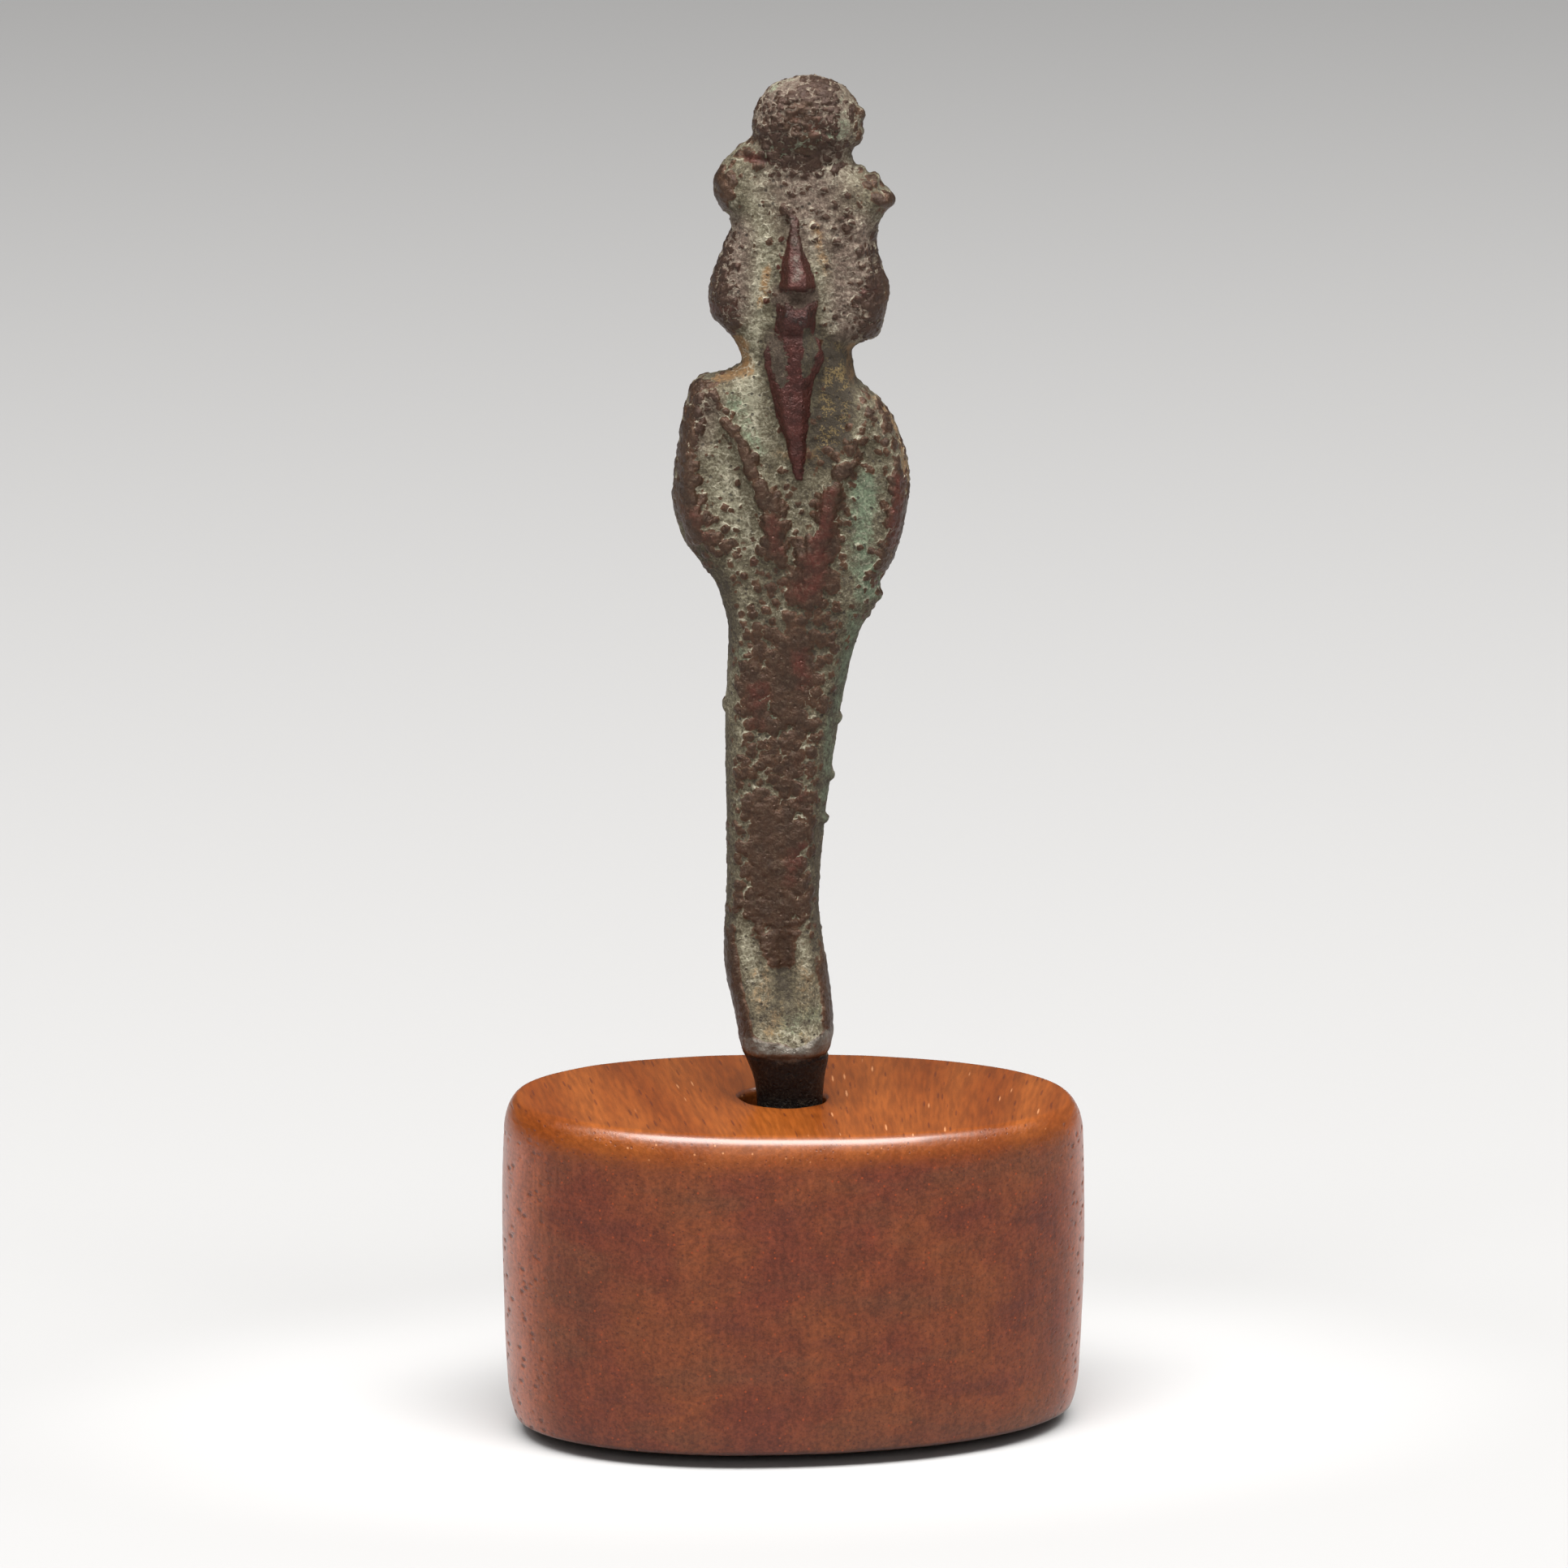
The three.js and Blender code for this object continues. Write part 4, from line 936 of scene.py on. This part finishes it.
speckled = node(tree, "ShaderNodeMath", {0: grain, 1: 0.5}, operation="SUBTRACT")
speckled = node(tree, "ShaderNodeMath", {0: speckled, 1: 0.9, 2: eaten["metal"]}, operation="MULTIPLY_ADD")
is_metal = node(tree, "ShaderNodeMapRange", {"Value": speckled, "From Min": -0.07, "From Max": 0.09})
deep = node(tree, "ShaderNodeMapRange", {"Value": eaten["metal"], "From Min": 0.0, "From Max": 0.6})
metal_tone = tinted(linear("#523623"), linear("#402b1d"), deep)
metal_tone = stain(metal_tone, "#4e2219", red, 0.8)
metal_tone = stain(metal_tone, "#48221c", polished, 0.9)
# Painted shade, near black, under the toes, and a darker mouth.
metal_tone = stain(metal_tone, "#1b1310", painted_shade_and_dark_mouth)
# Painted sheen with some wear: pale grey on the toes and the face.
metal_tone = stain(metal_tone, "#6b655c", wear_and_sheen)
patchy = node(
    tree,
    "ShaderNodeMapRange",
    {"Value": cloud, "From Min": 0.38, "From Max": 0.62, "To Min": 0.75, "To Max": 1.2},
)
metal_tone = tinted(metal_tone, patchy, 1.0, "MULTIPLY")
dusted = node(
    tree,
    "ShaderNodeMapRange",
    {"Value": grain, "From Min": 0.5, "From Max": 0.7, "To Max": 0.35},
)
not_polished = node(tree, "ShaderNodeMath", {0: 1.0, 1: polished}, operation="SUBTRACT", use_clamp=True)
dusted = node(tree, "ShaderNodeMath", {0: dusted, 1: not_polished}, operation="MULTIPLY")
metal_tone = tinted(metal_tone, linear("#6f604b"), dusted)
small_knobs = node(tree, "ShaderNodeMath", {0: brown, 1: 0.95, 2: 0.5}, operation="COMPARE")
small_knobs = node(tree, "ShaderNodeMath", {0: small_knobs, 1: 0.5}, operation="MULTIPLY")
metal_tone = tinted(metal_tone, linear("#39271f"), small_knobs)

# The crust runs from dark through olive to cream, grain by grain.
lift = node(tree, "ShaderNodeMath", {0: pale, 1: 0.17, 2: grain}, operation="MULTIPLY_ADD")
lift = node(tree, "ShaderNodeMath", {0: cloud, 1: 0.5, 2: lift}, operation="MULTIPLY_ADD")
to_middle = node(tree, "ShaderNodeMapRange", {"Value": lift, "From Min": 0.58, "From Max": 0.75})
to_cream = node(tree, "ShaderNodeMapRange", {"Value": lift, "From Min": 0.77, "From Max": 1.02})
olive_crust = tinted(tinted(linear("#393023"), linear("#574e3a"), to_middle), linear("#8d8872"), to_cream)
brown_crust = tinted(tinted(linear("#453529"), linear("#645347"), to_middle), linear("#9c8e7d"), to_cream)
browner = node(tree, "ShaderNodeMapRange", {"Value": brown, "From Min": 0.1, "From Max": 0.9})
crust_tone = tinted(olive_crust, brown_crust, browner)
crust_tone = stain(crust_tone, "#6b7f62", green, 0.7, "COLOR")
crust_tone = stain(crust_tone, "#7b8c74", green, 0.22)
crust_tone = stain(crust_tone, "#8a6536", dirt, 0.9, "COLOR")
crust_tone = stain(crust_tone, "#94704a", dirt, 0.4)
# The cream rims lie only on the upper left of each knob, the side lit from above. They are partly pale
# crust and partly a painted highlight.
rim = node(tree, "ShaderNodeMapRange", {"Value": eaten["beside"], "From Min": -0.05, "From Max": 0.2})
rim_here = node(tree, "ShaderNodeMath", {0: pale, 1: 0.3, 2: cloud}, operation="MULTIPLY_ADD")
rim_here = node(
    tree,
    "ShaderNodeMapRange",
    {"Value": rim_here, "From Min": 0.44, "From Max": 0.68, "To Max": 0.85},
)
rim = node(tree, "ShaderNodeMath", {0: rim, 1: rim_here}, operation="MULTIPLY")
vein_here = node(tree, "ShaderNodeMath", {0: pale, 1: 0.3, 2: glint}, operation="MULTIPLY_ADD")
vein_here = node(
    tree,
    "ShaderNodeMapRange",
    {"Value": vein_here, "From Min": 0.48, "From Max": 0.8, "To Max": 0.65},
)
vein = node(tree, "ShaderNodeMath", {0: eaten["vein"], 1: vein_here}, operation="MULTIPLY")
rim = node(tree, "ShaderNodeMath", {0: rim, 1: vein}, operation="MAXIMUM")
crust_tone = tinted(crust_tone, linear("#bfb8a1"), rim)
shaded = node(tree, "ShaderNodeMapRange", {"Value": pale, "From Min": -0.9, "From Max": -1.8})
golden = node(tree, "ShaderNodeMath", {0: glint, 1: cloud}, operation="MULTIPLY")
golden = node(tree, "ShaderNodeMapRange", {"Value": golden, "From Min": 0.262, "From Max": 0.3})
golden = node(tree, "ShaderNodeMath", {0: golden, 1: shaded}, operation="MULTIPLY")
golden = node(tree, "ShaderNodeMath", {0: golden, 1: 0.75}, operation="MULTIPLY")
crust_tone = tinted(crust_tone, linear("#7c6840"), golden)
holes = open_pores(tree, place, hole_spacing, hole_width, hole_share)
holes = node(tree, "ShaderNodeMath", {0: holes, 1: 0.75}, operation="MULTIPLY")
crust_tone = tinted(crust_tone, linear("#2b221a"), holes)
colour = tinted(crust_tone, metal_tone, is_metal)
sheen_rough = node(
    tree,
    "ShaderNodeMapRange",
    {"Value": grain, "From Min": 0.35, "From Max": 0.65, "To Min": 0.26, "To Max": 0.55},
)
sheen_rough = node(tree, "ShaderNodeMix", {"Factor": polished, "A": sheen_rough, "B": 0.32})
rough = node(tree, "ShaderNodeMix", {"Factor": is_metal, "A": 0.8, "B": sheen_rough})
metallic = node(tree, "ShaderNodeMath", {0: is_metal, 1: 0.45}, operation="MULTIPLY")
grain_bump = node(tree, "ShaderNodeMapRange", {"Value": is_metal, "To Min": 1.0, "To Max": 0.65})
relief = node(tree, "ShaderNodeMath", {0: grain, 1: grain_bump}, operation="MULTIPLY")
glints = node(tree, "ShaderNodeMath", {0: glint, 1: polished}, operation="MULTIPLY")
relief = node(tree, "ShaderNodeMath", {0: glints, 1: 0.7, 2: relief}, operation="MULTIPLY_ADD")
relief = node(tree, "ShaderNodeMath", {0: rim, 1: 0.3, 2: relief}, operation="MULTIPLY_ADD")
relief = node(tree, "ShaderNodeMath", {0: holes, 1: -0.5, 2: relief}, operation="MULTIPLY_ADD")
bump = node(tree, "ShaderNodeBump", {"Height": relief, "Strength": 0.9, "Distance": 0.0002})
shader = node(
    tree,
    "ShaderNodeBsdfPrincipled",
    {"Base Color": colour, "Metallic": metallic, "Roughness": rough, "Normal": bump},
)
node(tree, "ShaderNodeOutputMaterial", {"Surface": shader})

# The corrosion as real relief.
relief_sizes = {"Metal rise": metal_rise, "Rim rise": rim_rise, "Crust grain": crust_grain, "Sunk": sunk}
corrode = surface_tree("corroded_surface", relief_sizes)
given = node(corrode, "NodeGroupInput", {}).node.outputs
place = node(corrode, "GeometryNodeInputNamedAttribute", {"Name": "place"}, data_type="FLOAT_VECTOR")
found = {}
for name in ("bare", "knobs", "brown", "single"):
    found[name] = node(corrode, "GeometryNodeInputNamedAttribute", {"Name": name}, data_type="FLOAT")
eaten = corrosion(corrode, place, found["bare"], found["knobs"], found["brown"])
rise = node(corrode, "ShaderNodeMath", {0: eaten["metal"], 1: 0.0}, operation="MAXIMUM")
rise = node(corrode, "ShaderNodeMath", {0: rise, 1: -2.4}, operation="MULTIPLY")
rise = node(corrode, "ShaderNodeMath", {0: rise}, operation="EXPONENT")
rise = node(corrode, "ShaderNodeMath", {0: 1.0, 1: rise}, operation="SUBTRACT")
rise = node(corrode, "ShaderNodeMath", {0: rise, 1: given["Metal rise"]}, operation="MULTIPLY")
rim = node(corrode, "ShaderNodeMapRange", {"Value": eaten["beside"], "From Min": -0.1, "From Max": 0.25})
rim = node(corrode, "ShaderNodeMath", {0: rim, 1: given["Rim rise"]}, operation="MULTIPLY")
rise = node(corrode, "ShaderNodeMath", {0: rise, 1: rim}, operation="MAXIMUM")
rough = node(corrode, "ShaderNodeTexNoise", {"Vector": place, "Scale": 3.2, "Detail": 2.0})
rough = node(corrode, "ShaderNodeMath", {0: rough, 1: 0.5}, operation="SUBTRACT")
rough = node(corrode, "ShaderNodeMath", {0: rough, 1: given["Crust grain"]}, operation="MULTIPLY")
rise = node(corrode, "ShaderNodeMath", {0: rise, 1: rough}, operation="ADD")
wrinkle = node(corrode, "ShaderNodeVectorMath", {0: place, 1: (1.1, 1.1, 2.0)}, operation="MULTIPLY")
wrinkle = node(
    corrode,
    "ShaderNodeTexNoise",
    {"Vector": wrinkle, "Scale": 0.85, "Detail": 2.5, "Distortion": 0.6},
)
wrinkle = node(corrode, "ShaderNodeMath", {0: wrinkle, 1: 0.5}, operation="SUBTRACT")
wrinkled = node(
    corrode,
    "ShaderNodeMapRange",
    {"Value": found["brown"], "From Min": 0.2, "From Max": 1.6, "To Max": 1.2},
)
wrinkle = node(corrode, "ShaderNodeMath", {0: wrinkle, 1: wrinkled}, operation="MULTIPLY")
rise = node(corrode, "ShaderNodeMath", {0: wrinkle, 1: 0.7, 2: rise}, operation="MULTIPLY_ADD")
rise = node(corrode, "ShaderNodeMath", {0: eaten["middle"], 1: 0.25, 2: rise}, operation="MULTIPLY_ADD")
rise = node(corrode, "ShaderNodeMath", {0: eaten["broad"], 1: 0.35, 2: rise}, operation="MULTIPLY_ADD")
rise = node(corrode, "ShaderNodeMath", {0: rise, 1: given["Sunk"]}, operation="SUBTRACT")
above = node(corrode, "ShaderNodeSeparateXYZ", {0: place}).node.outputs["Z"]
smooth_tang = node(
    corrode,
    "ShaderNodeMapRange",
    {"Value": above, "From Min": 1.0, "From Max": 4.0, "To Min": 0.15},
)
rise = node(corrode, "ShaderNodeMath", {0: rise, 1: smooth_tang}, operation="MULTIPLY")
flat = node(corrode, "GeometryNodeInputNormal", {})
flat = node(corrode, "ShaderNodeSeparateXYZ", {0: flat}).node.outputs["Y"]
flat = node(corrode, "ShaderNodeMath", {0: flat}, operation="ABSOLUTE")
flat = node(corrode, "ShaderNodeMapRange", {"Value": flat, "From Max": 0.6, "To Min": 0.5})
rise = node(corrode, "ShaderNodeMath", {0: rise, 1: flat, 2: found["single"]}, operation="MULTIPLY_ADD")
raise_skin(corrode, given["Skin"], rise, corroded)
mesh = reworked(bronze_figure, corrode, relief_sizes)
thin = bronze_figure.modifiers.new("thinned", "DECIMATE")
thin.ratio = min(1.0, most_triangles / sum(len(p.vertices) - 2 for p in mesh.polygons))
mesh = with_modifiers(bronze_figure)
place_it = Matrix.Rotation(figure_turn, 4, "Z") @ Matrix.Scale(grow, 4)
place_it = Matrix.Scale(0.001, 4) @ Matrix.Translation((0, 0, base_height)) @ place_it
mesh.transform(place_it)
mesh.shade_smooth()
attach(bronze_figure, "root")
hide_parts("bronze_osiris_figure")


# The table under the piece: a plain white card. Painted shade greys it with the distance, and a painted
# pool of light makes it a little paler round the base, where the base's shadow falls.
floor_mesh = bpy.data.meshes.new("pale_floor")
floor_reach = 4.0  # metres
corners = [(-floor_reach, -floor_reach, 0), (floor_reach, -floor_reach, 0)]
corners += [(floor_reach, floor_reach, 0), (-floor_reach, floor_reach, 0)]
floor_mesh.from_pydata(corners, [], [(0, 1, 2, 3)])
floor = new_object("pale_floor", floor_mesh)
# White card has no shine. Its tone carries painted shade and a painted pool of light as well as the light.
matt_card, tree = new_material("matt_white_card")
place = node(tree, "ShaderNodeTexCoord", {}).node.outputs["Object"]
away = node(tree, "ShaderNodeVectorMath", {0: place}, operation="LENGTH").node.outputs["Value"]
# Painted light: the card is paler in an oval round the base, lifting the base's soft shadow on it.
amounts = {0: place, 1: (1, 1.6, 1), 2: (0, -0.01, 0)}
by_base = node(tree, "ShaderNodeVectorMath", amounts, operation="MULTIPLY_ADD")
by_base = node(tree, "ShaderNodeVectorMath", {0: by_base}, operation="LENGTH").node.outputs["Value"]
near = node(
    tree,
    "ShaderNodeMapRange",
    {"Value": by_base, "From Min": 0.075, "From Max": 0.02},
    interpolation_type="SMOOTHSTEP",
)
# Painted shade: the card greys a little away from the middle.
away = node(tree, "ShaderNodeMapRange", {"Value": away, "From Min": 0.02, "From Max": 1.2})
card_with_painted_light_and_shade = tinted(linear("#adacab"), linear("#a7a6a5"), away)
card_with_painted_light_and_shade = tinted(card_with_painted_light_and_shade, linear("#c3c2c1"), near)
shader = node(tree, "ShaderNodeBsdfDiffuse", {"Color": card_with_painted_light_and_shade})
node(tree, "ShaderNodeOutputMaterial", {"Surface": shader})
floor_mesh.materials.append(matt_card)


# Soft studio light: a wide softbox overhead, a dimmer one to each side, and a room that is
# bright above and dim towards the far walls.
room = bpy.data.worlds.new("white_room")
bpy.context.scene.world = room
room.use_nodes = True
tree = room.node_tree
tree.nodes.clear()
towards = node(tree, "ShaderNodeTexCoord", {}).node.outputs["Generated"]
upward = node(tree, "ShaderNodeSeparateXYZ", {0: towards}).node.outputs["Z"]
glow = node(
    tree,
    "ShaderNodeMapRange",
    {"Value": upward, "From Min": 0.05, "From Max": 0.75, "To Min": 0.06, "To Max": 0.3},
)
walls = node(tree, "ShaderNodeBackground", {"Color": (1, 1, 1, 1), "Strength": glow})
node(tree, "ShaderNodeOutputWorld", {"Surface": walls})


def softbox(name, size, power, at, aim):
    light = bpy.data.lights.new(name, "AREA")
    light.shape = "RECTANGLE"
    light.size, light.size_y = size
    light.energy = power
    made = bpy.data.objects.new(name, light)
    bpy.context.scene.collection.objects.link(made)
    made.location = at
    made.rotation_euler = (Vector(aim) - made.location).to_track_quat("-Z", "Y").to_euler()


softbox("overhead", (1.5, 0.66), 42.0, (-0.03, -0.46, 1.3), (0, 0, 0.06))
softbox("left_side", (0.5, 0.6), 3.0, (-0.8, -0.1, 1.0), (0, 0, 0.03))
softbox("right_side", (0.5, 0.6), 3.2, (0.8, -0.1, 1.0), (0, 0, 0.03))
softbox("front_fill", (0.4, 0.3), 1.2, (-0.16, -1.05, 0.5), (0, 0, 0.06))


# The camera, a long lens a little above the crown.
lens = bpy.data.cameras.new("studio_camera")
lens.sensor_width = 36
lens.lens = 218.3
lens.clip_start, lens.clip_end = 0.01, 20
camera = bpy.data.objects.new("studio_camera", lens)
bpy.context.scene.collection.objects.link(camera)
camera.location = (-0.1165, -0.79254, 0.237)
camera.rotation_euler = (math.radians(77.347), 0, math.radians(-8.3))
bpy.context.scene.camera = camera
bpy.context.scene.view_settings.view_transform = "Standard"
